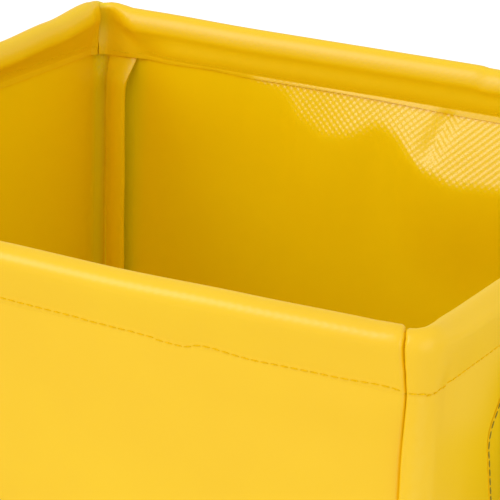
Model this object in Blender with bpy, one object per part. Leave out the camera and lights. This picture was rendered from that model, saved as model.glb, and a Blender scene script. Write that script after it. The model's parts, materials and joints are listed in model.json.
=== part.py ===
"""A collapsible camp bucket: four coated cloth walls on a square bottom, a rod in each hem, two webbing handles."""

import math

import bmesh
import bpy
from mathutils import Matrix, Vector

# Driving sizes in metres. X runs from the left side to the right, Y from the front to the back.
WIDTH = 0.280
DEPTH = 0.280
HEIGHT = 0.280
CORNER_RADIUS = 0.007
SHEET = 0.0008
FIT_GAP = 0.0003

# The hem, folded inwards over its rod and sewn down.
ROD_RADIUS = 0.004
ROD_END_GAP = 0.008
ROD_CHAMFER = 0.0006
HEM_DEPTH = 0.0183
HEM_NECK = 0.004
RAW_EDGE = 0.0027

# The seam allowances that lie inside the bucket.
SEAM_FLAP_WIDTH = 0.0115
SEAM_FLAP_THICKNESS = 0.0024
FLOOR_FLAP_WIDTH = 0.012
FLOOR_FLAP_THICKNESS = 0.0016
FLAP_EDGE_RADIUS = 0.0005

# The shield-shaped patch under each end of a handle.
HANDLE_SPREAD = 0.134
PATCH_WIDTH = 0.052
PATCH_FOOT_WIDTH = 0.027
PATCH_CHAMFER = 0.013
PATCH_DROP = 0.0147
PATCH_HEIGHT = 0.060
PATCH_CORNER_RADIUS = 0.003

# The webbing and its grip.
STRAP_WIDTH = 0.025
STRAP_THICKNESS = 0.0016
STRAP_EDGE_RADIUS = 0.0004
STRAP_FOOT_MARGIN = 0.006
STRAP_HEAD = 0.0015
HINGE_DROP = 0.0087
HANDLE_RISE = 0.070
HANDLE_BEND_RADIUS = 0.020
FLAT_LEG = 0.020
GRIP_LENGTH = 0.088
GRIP_WIDTH = 0.032
GRIP_THICKNESS = 0.010
GRIP_EDGE_RADIUS = 0.004
HANDLE_CLEARANCE = 0.0008
GRIP_BORE_OVERRUN = 0.002

# How finely the round shapes are cut.
ROLL_STEPS = 16
CORNER_STEPS = 6
ROD_SIDES = 20
EDGE_STEPS = 3
BEND_STEPS = 8
TWIST_STEPS = 8
SMOOTH_ANGLE = math.radians(35)

# Places that follow from the sizes above.
HALF_WIDTH = WIDTH / 2
HALF_DEPTH = DEPTH / 2
SEAM_X = HALF_WIDTH - CORNER_RADIUS
SEAM_Y = HALF_DEPTH - CORNER_RADIUS
STITCH_Z = HEIGHT - HEM_DEPTH
WALL_FOOT_Z = SHEET + FIT_GAP
ROLL_RADIUS = ROD_RADIUS + FIT_GAP + SHEET
ROLL_Z = HEIGHT - ROLL_RADIUS
OUTER_LAYER = SHEET / 2
INNER_LAYER = OUTER_LAYER + SHEET + FIT_GAP
ROLL_INSET = (OUTER_LAYER + INNER_LAYER) / 2
PATCH_TOP_Z = STITCH_Z - PATCH_DROP
HINGE_X = HALF_WIDTH + 3 * FIT_GAP + SHEET + 1.5 * STRAP_THICKNESS
HINGE_Z = STITCH_Z - HINGE_DROP


def lean_to_clear(distance, half_width, face_x):
    """The lean from the vertical at which an edge, that far down the handle, stays outside an upright face."""
    reach = math.hypot(distance, half_width)
    return math.asin((face_x - HINGE_X) / reach) + math.atan2(half_width, distance)


def hanging_lean():
    """How far out the hanging handle is held by the edges of its grip and of its twisted legs."""
    wall_face = HALF_WIDTH + HANDLE_CLEARANCE
    strap_face = HINGE_X - STRAP_THICKNESS / 2 - FIT_GAP + HANDLE_CLEARANCE
    leans = [lean_to_clear(HANDLE_RISE, GRIP_WIDTH / 2, wall_face)]
    for _, height, twist in handle_path():
        if twist:
            half_width = (STRAP_WIDTH * math.sin(twist) + STRAP_THICKNESS * math.cos(twist)) / 2
            leans.append(lean_to_clear(height, half_width, strap_face))
    return max(leans)


def clear_scene():
    for obj in list(bpy.data.objects):
        bpy.data.objects.remove(obj, do_unlink=True)


def make_material(name, colour, roughness, metallic=0.0):
    material = bpy.data.materials.new(name)
    material.use_nodes = True
    shader = material.node_tree.nodes["Principled BSDF"]
    shader.inputs["Base Color"].default_value = (*colour, 1)
    shader.inputs["Roughness"].default_value = roughness
    shader.inputs["Metallic"].default_value = metallic
    return material


def mesh_from(bm, name):
    bmesh.ops.recalc_face_normals(bm, faces=bm.faces)
    mesh = bpy.data.meshes.new(name)
    bm.to_mesh(mesh)
    bm.free()
    mesh.shade_smooth()
    mesh.set_sharp_from_angle(angle=SMOOTH_ANGLE)
    return mesh


def add_object(name, data, material, parent=None, turn=0.0):
    """Adds one sub-part, turned about the bucket's upright middle line."""
    obj = bpy.data.objects.new(name, data)
    bpy.context.scene.collection.objects.link(obj)
    obj.data.materials.clear()
    obj.data.materials.append(material)
    obj.rotation_euler.z = turn
    obj.parent = parent
    return obj


def add_frame(name, location=(0, 0, 0), tilt=0.0, parent=None):
    """Adds an empty that carries the pieces that move together."""
    frame = bpy.data.objects.new(name, None)
    bpy.context.scene.collection.objects.link(frame)
    frame.location = location
    frame.rotation_euler.y = tilt
    frame.parent = parent
    return frame


def solidify(obj):
    modifier = obj.modifiers.new("Cloth thickness", "SOLIDIFY")
    modifier.thickness = SHEET
    modifier.offset = 0
    modifier.use_even_offset = True


def box_mesh(name, low, high, edge_radius=0.0):
    """A box between two corners, with its edges rounded."""
    low, high = Vector(low), Vector(high)
    bm = bmesh.new()
    bmesh.ops.create_cube(bm, size=1)
    bmesh.ops.scale(bm, vec=high - low, verts=bm.verts)
    bmesh.ops.translate(bm, vec=(high + low) / 2, verts=bm.verts)
    if edge_radius:
        bmesh.ops.bevel(
            bm,
            geom=bm.edges[:],
            offset=edge_radius,
            segments=EDGE_STEPS,
            profile=0.5,
            affect="EDGES",
        )
    return mesh_from(bm, name)


def hem_profile():
    """The hem's cloth seen end on, as (inset from the wall's outer face, height) along the middle of the sheet."""
    radius = ROLL_RADIUS - OUTER_LAYER
    neck_z = ROLL_Z - radius - HEM_NECK
    inset, fall = ROLL_INSET - OUTER_LAYER, ROLL_Z - neck_z
    below = math.acos(radius / math.hypot(inset, fall)) - math.atan2(inset, fall)
    start = 1.5 * math.pi - below
    sweep = 2 * (math.pi - below)
    roll = []
    for step in range(ROLL_STEPS + 1):
        angle = start - sweep * step / ROLL_STEPS
        roll.append((ROLL_INSET + radius * math.cos(angle), ROLL_Z + radius * math.sin(angle)))
    outer = [(OUTER_LAYER, STITCH_Z), (OUTER_LAYER, neck_z)]
    inner = [(INNER_LAYER, neck_z), (INNER_LAYER, STITCH_Z - RAW_EDGE)]
    return outer + roll + inner


def wall_profile():
    return [(OUTER_LAYER, WALL_FOOT_Z), (OUTER_LAYER, STITCH_Z - FIT_GAP)]


def profile_edges(bm, profile, x):
    """Draws a profile on the front face, at the given x, and returns its geometry."""
    verts = [bm.verts.new((x, inset - HALF_DEPTH, z)) for inset, z in profile]
    edges = [bm.edges.new(pair) for pair in zip(verts, verts[1:])]
    return verts + edges


def edges_of(geometry):
    return [item for item in geometry if isinstance(item, bmesh.types.BMEdge)]


def extrude_along(bm, geometry, offset):
    """Carries a profile straight along, and returns its far end."""
    grown = bmesh.ops.extrude_edge_only(bm, edges=edges_of(geometry))["geom"]
    moved = [item for item in grown if isinstance(item, bmesh.types.BMVert)]
    bmesh.ops.translate(bm, vec=offset, verts=moved)
    far_end = [edge for edge in edges_of(grown) if edge.verts[0] in moved and edge.verts[1] in moved]
    return moved + far_end


def spin_round(bm, geometry, centre):
    """Carries a profile a quarter turn round an upright corner."""
    return bmesh.ops.spin(
        bm,
        geom=geometry,
        cent=centre,
        axis=(0, 0, 1),
        angle=math.pi / 2,
        steps=CORNER_STEPS,
    )["geom_last"]


def face_sheet(name, profile):
    """A sheet across the front face, between the two corner seams."""
    bm = bmesh.new()
    start = SEAM_X - FIT_GAP
    extrude_along(bm, profile_edges(bm, profile, -start), (2 * start, 0, 0))
    return mesh_from(bm, name)


def side_sheet(name, profile):
    """A sheet along the right side that wraps both of its corners."""
    bm = bmesh.new()
    profile_end = profile_edges(bm, profile, SEAM_X)
    profile_end = spin_round(bm, profile_end, (SEAM_X, -SEAM_Y, 0))
    profile_end = extrude_along(bm, profile_end, (0, 2 * SEAM_Y, 0))
    spin_round(bm, profile_end, (SEAM_X, SEAM_Y, 0))
    return mesh_from(bm, name)


def bottom_mesh():
    bm = bmesh.new()
    bmesh.ops.create_cube(bm, size=1)
    bmesh.ops.scale(bm, vec=(WIDTH, DEPTH, SHEET), verts=bm.verts)
    bmesh.ops.translate(bm, vec=(0, 0, SHEET / 2), verts=bm.verts)
    upright = [edge for edge in bm.edges if abs(edge.verts[0].co.z - edge.verts[1].co.z) > SHEET / 2]
    bmesh.ops.bevel(
        bm,
        geom=upright,
        offset=CORNER_RADIUS,
        segments=CORNER_STEPS,
        profile=0.5,
        affect="EDGES",
    )
    return mesh_from(bm, "bottom")


def rod_mesh(length):
    """A rod along X with chamfered ends."""
    bm = bmesh.new()
    bmesh.ops.create_cone(
        bm,
        cap_ends=True,
        segments=ROD_SIDES,
        radius1=ROD_RADIUS,
        radius2=ROD_RADIUS,
        depth=length,
    )
    rims = [edge for edge in bm.edges if abs(edge.verts[0].co.z - edge.verts[1].co.z) < length / 2]
    bmesh.ops.bevel(
        bm,
        geom=rims,
        offset=ROD_CHAMFER,
        segments=1,
        profile=0.5,
        affect="EDGES",
    )
    bmesh.ops.rotate(bm, cent=(0, 0, 0), matrix=Matrix.Rotation(math.pi / 2, 3, "Y"), verts=bm.verts)
    return mesh_from(bm, "rod")


def patch_mesh():
    """A flat shield: chamfered shoulders above, sides that draw in below."""
    half_width = PATCH_WIDTH / 2
    half_foot = PATCH_FOOT_WIDTH / 2
    half_head = half_width - PATCH_CHAMFER
    shoulder_z = PATCH_TOP_Z - PATCH_CHAMFER
    foot_z = PATCH_TOP_Z - PATCH_HEIGHT
    right_half = [(half_foot, foot_z), (half_width, shoulder_z), (half_head, PATCH_TOP_Z)]
    left_half = [(-y, z) for y, z in reversed(right_half)]
    bm = bmesh.new()
    verts = [bm.verts.new((HALF_WIDTH + FIT_GAP, y, z)) for y, z in right_half + left_half]
    bm.faces.new(verts)
    bmesh.ops.bevel(
        bm,
        geom=bm.verts[:],
        offset=PATCH_CORNER_RADIUS,
        segments=EDGE_STEPS,
        profile=0.5,
        affect="VERTICES",
    )
    grown = bmesh.ops.extrude_face_region(bm, geom=bm.faces[:])["geom"]
    moved = [item for item in grown if isinstance(item, bmesh.types.BMVert)]
    bmesh.ops.translate(bm, vec=(SHEET, 0, 0), verts=moved)
    return mesh_from(bm, "patch")


def strap_end_mesh():
    """The end of the webbing, flat on its patch."""
    inner_x = HALF_WIDTH + 2 * FIT_GAP + SHEET
    foot_z = PATCH_TOP_Z - PATCH_HEIGHT + STRAP_FOOT_MARGIN
    low = (inner_x, -STRAP_WIDTH / 2, foot_z)
    high = (inner_x + STRAP_THICKNESS, STRAP_WIDTH / 2, HINGE_Z + STRAP_HEAD)
    return box_mesh("strap_end", low, high, STRAP_EDGE_RADIUS)


def handle_path():
    """Points of the handle's arch as (y, height above the hinge, twist), from the front end to the back end."""
    half = HANDLE_SPREAD / 2
    leg = HANDLE_RISE - HANDLE_BEND_RADIUS
    rising = [(-half, 0.0, 0.0)]
    for step in range(TWIST_STEPS + 1):
        share = step / TWIST_STEPS
        eased = share * share * (3 - 2 * share)
        rising.append((-half, FLAT_LEG + (leg - FLAT_LEG) * share, eased * math.pi / 2))
    for step in range(1, BEND_STEPS + 1):
        angle = step / BEND_STEPS * math.pi / 2
        y = -half + HANDLE_BEND_RADIUS * (1 - math.cos(angle))
        rising.append((y, leg + HANDLE_BEND_RADIUS * math.sin(angle), math.pi / 2))
    falling = [(-y, height, twist) for y, height, twist in reversed(rising)]
    return rising + falling


def strap_section():
    """The webbing's cross section, as a hidden guide for the arch."""
    half_width = STRAP_WIDTH / 2
    half_thickness = STRAP_THICKNESS / 2
    inner_width = half_width - STRAP_EDGE_RADIUS
    inner_thickness = half_thickness - STRAP_EDGE_RADIUS
    corners = [
        (inner_thickness, half_width),
        (half_thickness, inner_width),
        (half_thickness, -inner_width),
        (inner_thickness, -half_width),
        (-inner_thickness, -half_width),
        (-half_thickness, -inner_width),
        (-half_thickness, inner_width),
        (-inner_thickness, half_width),
    ]
    curve = bpy.data.curves.new("strap_section", "CURVE")
    curve.dimensions = "2D"
    spline = curve.splines.new("POLY")
    spline.points.add(len(corners) - 1)
    for point, (x, y) in zip(spline.points, corners):
        point.co = (x, y, 0, 1)
    spline.use_cyclic_u = True
    guide = bpy.data.objects.new("strap_section", curve)
    bpy.context.scene.collection.objects.link(guide)
    guide.hide_render = True
    guide.display_type = "WIRE"
    return guide


def strap_curve(section):
    """The free length of webbing: up from one sewn end, a quarter twist, across the grip and down again."""
    curve = bpy.data.curves.new("handle_strap", "CURVE")
    curve.dimensions = "3D"
    curve.twist_mode = "MINIMUM"
    curve.bevel_mode = "OBJECT"
    curve.bevel_object = section
    curve.use_fill_caps = True
    path = handle_path()
    spline = curve.splines.new("POLY")
    spline.points.add(len(path) - 1)
    for point, (y, height, twist) in zip(spline.points, path):
        point.co = (0, y, height, 1)
        point.tilt = twist
    return curve


def grip_mesh():
    """The grip's sleeve, before its slot is cut."""
    bm = bmesh.new()
    bmesh.ops.create_cube(bm, size=1)
    bmesh.ops.scale(bm, vec=(GRIP_WIDTH, GRIP_LENGTH, GRIP_THICKNESS), verts=bm.verts)
    lengthwise = [edge for edge in bm.edges if abs(edge.verts[0].co.y - edge.verts[1].co.y) > GRIP_LENGTH / 2]
    bmesh.ops.bevel(
        bm,
        geom=lengthwise,
        offset=GRIP_EDGE_RADIUS,
        segments=EDGE_STEPS + 1,
        profile=0.5,
        affect="EDGES",
    )
    return mesh_from(bm, "grip")


def add_bore(name, parent):
    """The cutter for the webbing's slot right through a grip."""
    half_size = Vector((STRAP_WIDTH, GRIP_LENGTH, STRAP_THICKNESS)) / 2
    half_size += Vector((FIT_GAP, GRIP_BORE_OVERRUN, FIT_GAP))
    bore = bpy.data.objects.new(name, box_mesh("grip_bore", -half_size, half_size))
    bpy.context.scene.collection.objects.link(bore)
    bore.parent = parent
    bore.location.z = HANDLE_RISE
    bore.hide_render = True
    bore.display_type = "WIRE"
    return bore


def add_grip(name, material, parent, bore):
    grip = add_object(name, grip_mesh(), material, parent)
    grip.location.z = HANDLE_RISE
    cut = grip.modifiers.new("Slot for the webbing", "BOOLEAN")
    cut.operation = "DIFFERENCE"
    cut.solver = "EXACT"
    cut.object = bore
    return grip


def build_walls(vinyl):
    add_object("bottom_panel", bottom_mesh(), vinyl)
    face_wall = face_sheet("face_wall", wall_profile())
    side_wall = side_sheet("side_wall", wall_profile())
    for name, mesh, turn in (
        ("front_wall", face_wall, 0),
        ("back_wall", face_wall, math.pi),
        ("right_wall", side_wall, 0),
        ("left_wall", side_wall, math.pi),
    ):
        solidify(add_object(name, mesh, vinyl, turn=turn))


def build_seam_flaps(vinyl):
    """Upright allowances inside the face walls, and flat ones round the bottom."""
    inner = SHEET + FIT_GAP
    floor_top = inner + FLOOR_FLAP_THICKNESS
    outer_y = inner - HALF_DEPTH
    flap_top = STITCH_Z - RAW_EDGE - FIT_GAP
    flap_foot = floor_top + FIT_GAP
    for side, opposite, reach in (("right", "left", 1), ("left", "right", -1)):
        near, far = sorted((reach * SEAM_X, reach * (SEAM_X - SEAM_FLAP_WIDTH)))
        low = (near, outer_y, flap_foot)
        high = (far, outer_y + SEAM_FLAP_THICKNESS, flap_top)
        flap = box_mesh("seam_flap", low, high, FLAP_EDGE_RADIUS)
        add_object(f"front_{side}_seam_flap", flap, vinyl)
        add_object(f"back_{opposite}_seam_flap", flap, vinyl, turn=math.pi)
    low = (-SEAM_X, outer_y, inner)
    high = (SEAM_X, outer_y + FLOOR_FLAP_WIDTH, floor_top)
    face_flap = box_mesh("floor_flap_face", low, high, FLAP_EDGE_RADIUS)
    side_y = HALF_DEPTH - inner - FLOOR_FLAP_WIDTH - FIT_GAP
    low = (HALF_WIDTH - inner - FLOOR_FLAP_WIDTH, -side_y, inner)
    high = (HALF_WIDTH - inner, side_y, floor_top)
    side_flap = box_mesh("floor_flap_side", low, high, FLAP_EDGE_RADIUS)
    add_object("front_floor_flap", face_flap, vinyl)
    add_object("back_floor_flap", face_flap, vinyl, turn=math.pi)
    add_object("right_floor_flap", side_flap, vinyl)
    add_object("left_floor_flap", side_flap, vinyl, turn=math.pi)


def build_hems(vinyl, rod_material, rim):
    face_hem = face_sheet("face_hem", hem_profile())
    side_hem = side_sheet("side_hem", hem_profile())
    for name, mesh, turn in (
        ("front_hem", face_hem, 0),
        ("back_hem", face_hem, math.pi),
        ("right_hem", side_hem, 0),
        ("left_hem", side_hem, math.pi),
    ):
        solidify(add_object(name, mesh, vinyl, rim, turn))
    face_rod = rod_mesh(2 * (SEAM_X - ROD_END_GAP))
    side_rod = rod_mesh(2 * (SEAM_Y - ROD_END_GAP))
    for name, mesh, turn, reach in (
        ("front_rod", face_rod, 0, HALF_DEPTH),
        ("right_rod", side_rod, math.pi / 2, HALF_WIDTH),
        ("back_rod", face_rod, math.pi, HALF_DEPTH),
        ("left_rod", side_rod, -math.pi / 2, HALF_WIDTH),
    ):
        rod = add_object(name, mesh, rod_material, rim, turn)
        inset = reach - ROLL_INSET
        rod.location = (inset * math.sin(turn), -inset * math.cos(turn), ROLL_Z)


def build_anchors(vinyl, webbing, rim):
    """Two patches and two sewn strap ends on each side."""
    patch = patch_mesh()
    strap_end = strap_end_mesh()
    for side, turn in (("right", 0), ("left", math.pi)):
        for place, y in (("front", -HANDLE_SPREAD / 2), ("rear", HANDLE_SPREAD / 2)):
            for kind, mesh, material in (("handle_patch", patch, vinyl), ("strap_end", strap_end, webbing)):
                piece = add_object(f"{side}_{place}_{kind}", mesh, material, rim, turn)
                piece.location.y = y


def build_handles(webbing, foam, rim):
    section = strap_section()
    for side, reach in (("right", 1), ("left", -1)):
        tilt = reach * (math.pi - hanging_lean())
        hinge = add_frame(f"{side}_hinge", (reach * HINGE_X, 0, HINGE_Z), tilt, rim)
        add_object(f"{side}_handle_strap", strap_curve(section), webbing, hinge)
        add_grip(f"{side}_grip", foam, hinge, add_bore(f"{side}_grip_bore", hinge))


def main():
    clear_scene()
    vinyl = make_material("yellow_vinyl", (0.85, 0.52, 0.03), 0.42)
    rod_material = make_material("rod_plastic", (0.55, 0.55, 0.52), 0.5)
    webbing = make_material("black_webbing", (0.02, 0.02, 0.022), 0.85)
    foam = make_material("grip_rubber", (0.03, 0.03, 0.032), 0.7)
    rim = add_frame("rim")
    build_walls(vinyl)
    build_seam_flaps(vinyl)
    build_hems(vinyl, rod_material, rim)
    build_anchors(vinyl, webbing, rim)
    build_handles(webbing, foam, rim)


main()
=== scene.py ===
# %% [markdown]
# # A collapsible camp bucket
# The real object is a square tub sewn from coated cloth. Each wall's top is folded inwards over a
# rod and sewn down, which keeps the mouth open. The walls fold when the rim is pressed down, and
# webbing handles swing on two opposite sides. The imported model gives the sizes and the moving
# bodies, and every cloth piece here is cut flat, as a maker would, and then folded into its place.
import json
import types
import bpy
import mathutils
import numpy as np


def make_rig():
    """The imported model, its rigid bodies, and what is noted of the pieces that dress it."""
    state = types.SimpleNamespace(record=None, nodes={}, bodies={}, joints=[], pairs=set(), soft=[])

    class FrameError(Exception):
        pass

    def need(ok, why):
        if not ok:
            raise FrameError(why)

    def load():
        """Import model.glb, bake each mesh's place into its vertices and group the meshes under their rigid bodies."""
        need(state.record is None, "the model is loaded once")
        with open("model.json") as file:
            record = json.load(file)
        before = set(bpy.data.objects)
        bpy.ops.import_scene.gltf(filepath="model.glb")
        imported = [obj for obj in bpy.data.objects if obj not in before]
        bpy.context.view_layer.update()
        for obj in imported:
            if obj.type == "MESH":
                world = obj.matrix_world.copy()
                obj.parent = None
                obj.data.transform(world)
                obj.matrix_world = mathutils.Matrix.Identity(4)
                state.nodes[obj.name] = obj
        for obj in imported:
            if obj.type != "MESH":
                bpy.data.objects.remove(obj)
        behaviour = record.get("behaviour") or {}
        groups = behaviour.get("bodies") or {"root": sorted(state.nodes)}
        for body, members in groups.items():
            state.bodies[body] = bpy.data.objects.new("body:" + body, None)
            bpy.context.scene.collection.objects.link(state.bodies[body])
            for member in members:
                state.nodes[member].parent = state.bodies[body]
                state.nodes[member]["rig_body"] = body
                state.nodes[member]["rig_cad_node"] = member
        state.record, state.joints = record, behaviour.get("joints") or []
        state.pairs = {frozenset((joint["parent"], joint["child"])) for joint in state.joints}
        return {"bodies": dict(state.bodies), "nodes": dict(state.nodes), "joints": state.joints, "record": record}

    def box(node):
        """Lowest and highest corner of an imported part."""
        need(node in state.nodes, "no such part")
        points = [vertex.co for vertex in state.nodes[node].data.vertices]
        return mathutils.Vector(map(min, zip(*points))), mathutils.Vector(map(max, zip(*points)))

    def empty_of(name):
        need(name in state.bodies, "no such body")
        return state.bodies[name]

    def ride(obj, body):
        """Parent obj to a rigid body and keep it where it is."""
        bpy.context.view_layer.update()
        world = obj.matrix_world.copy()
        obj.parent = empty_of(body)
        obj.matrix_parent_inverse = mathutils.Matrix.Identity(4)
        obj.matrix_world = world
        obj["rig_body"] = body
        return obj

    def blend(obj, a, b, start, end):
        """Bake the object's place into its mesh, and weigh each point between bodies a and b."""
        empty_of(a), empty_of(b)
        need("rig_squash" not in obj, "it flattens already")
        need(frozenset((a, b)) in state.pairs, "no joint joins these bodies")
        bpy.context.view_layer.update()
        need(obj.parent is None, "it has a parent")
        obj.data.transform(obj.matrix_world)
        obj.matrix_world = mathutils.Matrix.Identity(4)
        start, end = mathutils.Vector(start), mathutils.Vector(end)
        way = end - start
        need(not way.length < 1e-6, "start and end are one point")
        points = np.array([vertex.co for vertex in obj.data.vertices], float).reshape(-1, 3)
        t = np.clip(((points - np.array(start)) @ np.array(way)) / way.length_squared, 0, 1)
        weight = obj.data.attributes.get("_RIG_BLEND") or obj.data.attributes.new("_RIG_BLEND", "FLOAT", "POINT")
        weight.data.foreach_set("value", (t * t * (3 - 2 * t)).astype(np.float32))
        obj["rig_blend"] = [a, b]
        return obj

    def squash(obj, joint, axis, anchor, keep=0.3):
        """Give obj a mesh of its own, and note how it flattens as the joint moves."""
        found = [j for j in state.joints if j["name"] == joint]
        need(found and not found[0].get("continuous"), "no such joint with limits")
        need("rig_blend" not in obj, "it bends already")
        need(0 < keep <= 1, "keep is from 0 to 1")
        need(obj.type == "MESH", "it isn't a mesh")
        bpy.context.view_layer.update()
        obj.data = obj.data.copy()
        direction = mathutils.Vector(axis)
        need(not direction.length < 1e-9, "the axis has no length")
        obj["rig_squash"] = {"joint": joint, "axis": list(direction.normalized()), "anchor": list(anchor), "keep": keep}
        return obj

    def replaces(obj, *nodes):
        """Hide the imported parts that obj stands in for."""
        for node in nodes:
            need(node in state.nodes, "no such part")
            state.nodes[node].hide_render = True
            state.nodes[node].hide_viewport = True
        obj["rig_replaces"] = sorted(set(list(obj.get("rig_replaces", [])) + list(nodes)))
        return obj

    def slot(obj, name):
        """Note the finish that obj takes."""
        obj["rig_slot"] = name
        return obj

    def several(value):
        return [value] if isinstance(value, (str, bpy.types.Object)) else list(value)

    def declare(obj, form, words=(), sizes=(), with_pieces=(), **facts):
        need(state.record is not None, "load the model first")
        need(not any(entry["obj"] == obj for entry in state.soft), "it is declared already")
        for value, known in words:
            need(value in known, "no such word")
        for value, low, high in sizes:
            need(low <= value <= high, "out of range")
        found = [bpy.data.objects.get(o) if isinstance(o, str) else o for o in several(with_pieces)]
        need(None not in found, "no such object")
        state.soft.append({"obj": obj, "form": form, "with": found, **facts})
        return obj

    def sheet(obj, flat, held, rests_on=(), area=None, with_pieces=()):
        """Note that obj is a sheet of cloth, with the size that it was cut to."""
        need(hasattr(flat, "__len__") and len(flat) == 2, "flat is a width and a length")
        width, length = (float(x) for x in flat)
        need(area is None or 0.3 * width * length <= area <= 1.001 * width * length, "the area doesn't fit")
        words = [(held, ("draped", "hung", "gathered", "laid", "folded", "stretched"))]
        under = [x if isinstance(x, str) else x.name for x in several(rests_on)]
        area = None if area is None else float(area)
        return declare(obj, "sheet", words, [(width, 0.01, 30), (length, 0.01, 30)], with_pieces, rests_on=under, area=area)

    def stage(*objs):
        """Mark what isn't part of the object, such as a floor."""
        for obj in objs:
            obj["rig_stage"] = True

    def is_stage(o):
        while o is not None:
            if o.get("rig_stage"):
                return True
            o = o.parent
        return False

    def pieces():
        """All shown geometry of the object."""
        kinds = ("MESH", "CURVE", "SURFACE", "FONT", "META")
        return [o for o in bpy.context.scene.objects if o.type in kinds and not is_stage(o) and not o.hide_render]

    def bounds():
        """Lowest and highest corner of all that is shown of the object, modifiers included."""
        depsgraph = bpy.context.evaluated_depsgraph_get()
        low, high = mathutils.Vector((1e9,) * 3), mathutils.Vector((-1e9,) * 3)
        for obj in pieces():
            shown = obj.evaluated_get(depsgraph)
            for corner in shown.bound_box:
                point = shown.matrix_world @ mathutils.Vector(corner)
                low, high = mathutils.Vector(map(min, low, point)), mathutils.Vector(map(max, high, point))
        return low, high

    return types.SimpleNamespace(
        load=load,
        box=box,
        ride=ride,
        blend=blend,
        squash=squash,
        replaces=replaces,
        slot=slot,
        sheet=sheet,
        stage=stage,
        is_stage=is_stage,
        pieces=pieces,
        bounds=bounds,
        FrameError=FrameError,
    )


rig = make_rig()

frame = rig.load()

import bisect
import json
import math

import bmesh
import bpy
import numpy as np
from mathutils import Matrix, Vector, noise
from mathutils.bvhtree import BVHTree

cad_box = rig.bounds()
low, high = ([round(x, 4) for x in corner] for corner in cad_box)
print("the CAD box runs from", low, "to", high)

# %% [markdown]
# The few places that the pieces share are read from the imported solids, so that the cloth sits where
# the model says. Lengths are in metres, and `MM` turns millimetres into them.

# %% Places that the pieces share
MM = 0.001
CLOTH = 0.8 * MM
CORNER = 7.0 * MM
GAP = 0.3 * MM
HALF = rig.box("bottom_panel")[1].x
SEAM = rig.box("front_wall")[1].x + GAP
STITCH_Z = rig.box("front_wall")[1].z + GAP
FOOT_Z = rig.box("front_wall")[0].z
RIM_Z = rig.box("right_hem")[1].z
print(f"half a side {HALF:.4f}, seam {SEAM:.4f}, stitches {STITCH_Z:.4f}, rim {RIM_Z:.4f}")


def smooth(value, start, end):
    """0 before start and 1 after end, with an easy rise between them."""
    share = min(max((value - start) / (end - start), 0), 1)
    return share * share * (3 - 2 * share)


def through(points, value):
    """Reads a smooth curve through pairs of numbers, level beyond its ends."""
    for (x0, y0), (x1, y1) in zip(points, points[1:]):
        if value <= x1:
            return y0 + (y1 - y0) * smooth(value, x0, x1)
    return points[-1][1]


def hill(x, y, at, width, height):
    """A round hill over a surface: 1 at its top, and nearly nothing two widths away."""
    return math.exp(-(((x - at[0]) / width) ** 2) - ((y - at[1]) / height) ** 2)


def swell(x, y, size, seed):
    """A slow random swell between -1 and 1, the same at every run."""
    return noise.noise(Vector((x / size, y / size, seed)))


# %% [markdown]
# ## Camera
# The photograph looks a little down on one corner from far away through a long lens. Its place was
# found by fitting the rim's and the seams' lines, so the camera is set from that eye point, a
# direction and a small roll.

# %% Camera at the photograph's viewing angle
EYE = Vector((0.4007, -0.7240, 0.5163))
TURN, LOOK_DOWN, ROLL = (math.radians(angle) for angle in (28.4, 18.53, 1.93))
FOCAL_PIXELS, FRAME_PIXELS, SENSOR = 2555, 500, 36
NEAREST, FARTHEST = 0.05, 50
level_share = math.cos(LOOK_DOWN)
ahead = Vector((-math.sin(TURN) * level_share, math.cos(TURN) * level_share, -math.sin(LOOK_DOWN)))
level = Vector((math.cos(TURN), math.sin(TURN), 0))
across_view = Matrix.Rotation(-ROLL, 3, ahead) @ level
up_view = across_view.cross(ahead)
camera = bpy.data.objects.new("camera", bpy.data.cameras.new("camera"))
camera.data.sensor_width = SENSOR
camera.data.lens = FOCAL_PIXELS / FRAME_PIXELS * SENSOR
camera.data.clip_start, camera.data.clip_end = NEAREST, FARTHEST
camera.matrix_world = Matrix((across_view, up_view, -ahead)).transposed().to_4x4()
camera.location = EYE
bpy.context.scene.collection.objects.link(camera)
bpy.context.scene.camera = camera
print(f"lens {camera.data.lens:.1f} mm")

# %% [markdown]
# ## Shader maths
# A material is easier to read as sums than as a list of nodes. `Link` wraps one output socket, and
# an expression on links adds the Math nodes. `Finish` holds one material, or the world, and its one
# method `node` adds any other node.


# %% Links on which sums can be written
class Link:
    """One output socket of a material or the world."""

    def __init__(self, finish, socket):
        self.finish = finish
        self.socket = socket

    def math(self, operation, *others):
        return self.finish.node("Math", {"operation": operation}, dict(enumerate((self, *others))))

    def __add__(self, other):
        return self.math("ADD", other)

    def __sub__(self, other):
        return self.math("SUBTRACT", other)

    def __rsub__(self, other):
        return self.math("MULTIPLY", -1).math("ADD", other)

    def __mul__(self, other):
        return self.math("MULTIPLY", other)

    __radd__ = __add__
    __rmul__ = __mul__

    def sine(self):
        return self.math("SINE")

    def rise(self, start, end):
        """0 where this is below start, 1 above end, and an even rise between."""
        settings = {"interpolation_type": "SMOOTHSTEP", "clamp": True}
        return self.finish.node("MapRange", settings, {"Value": self, "From Min": start, "From Max": end})


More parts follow.
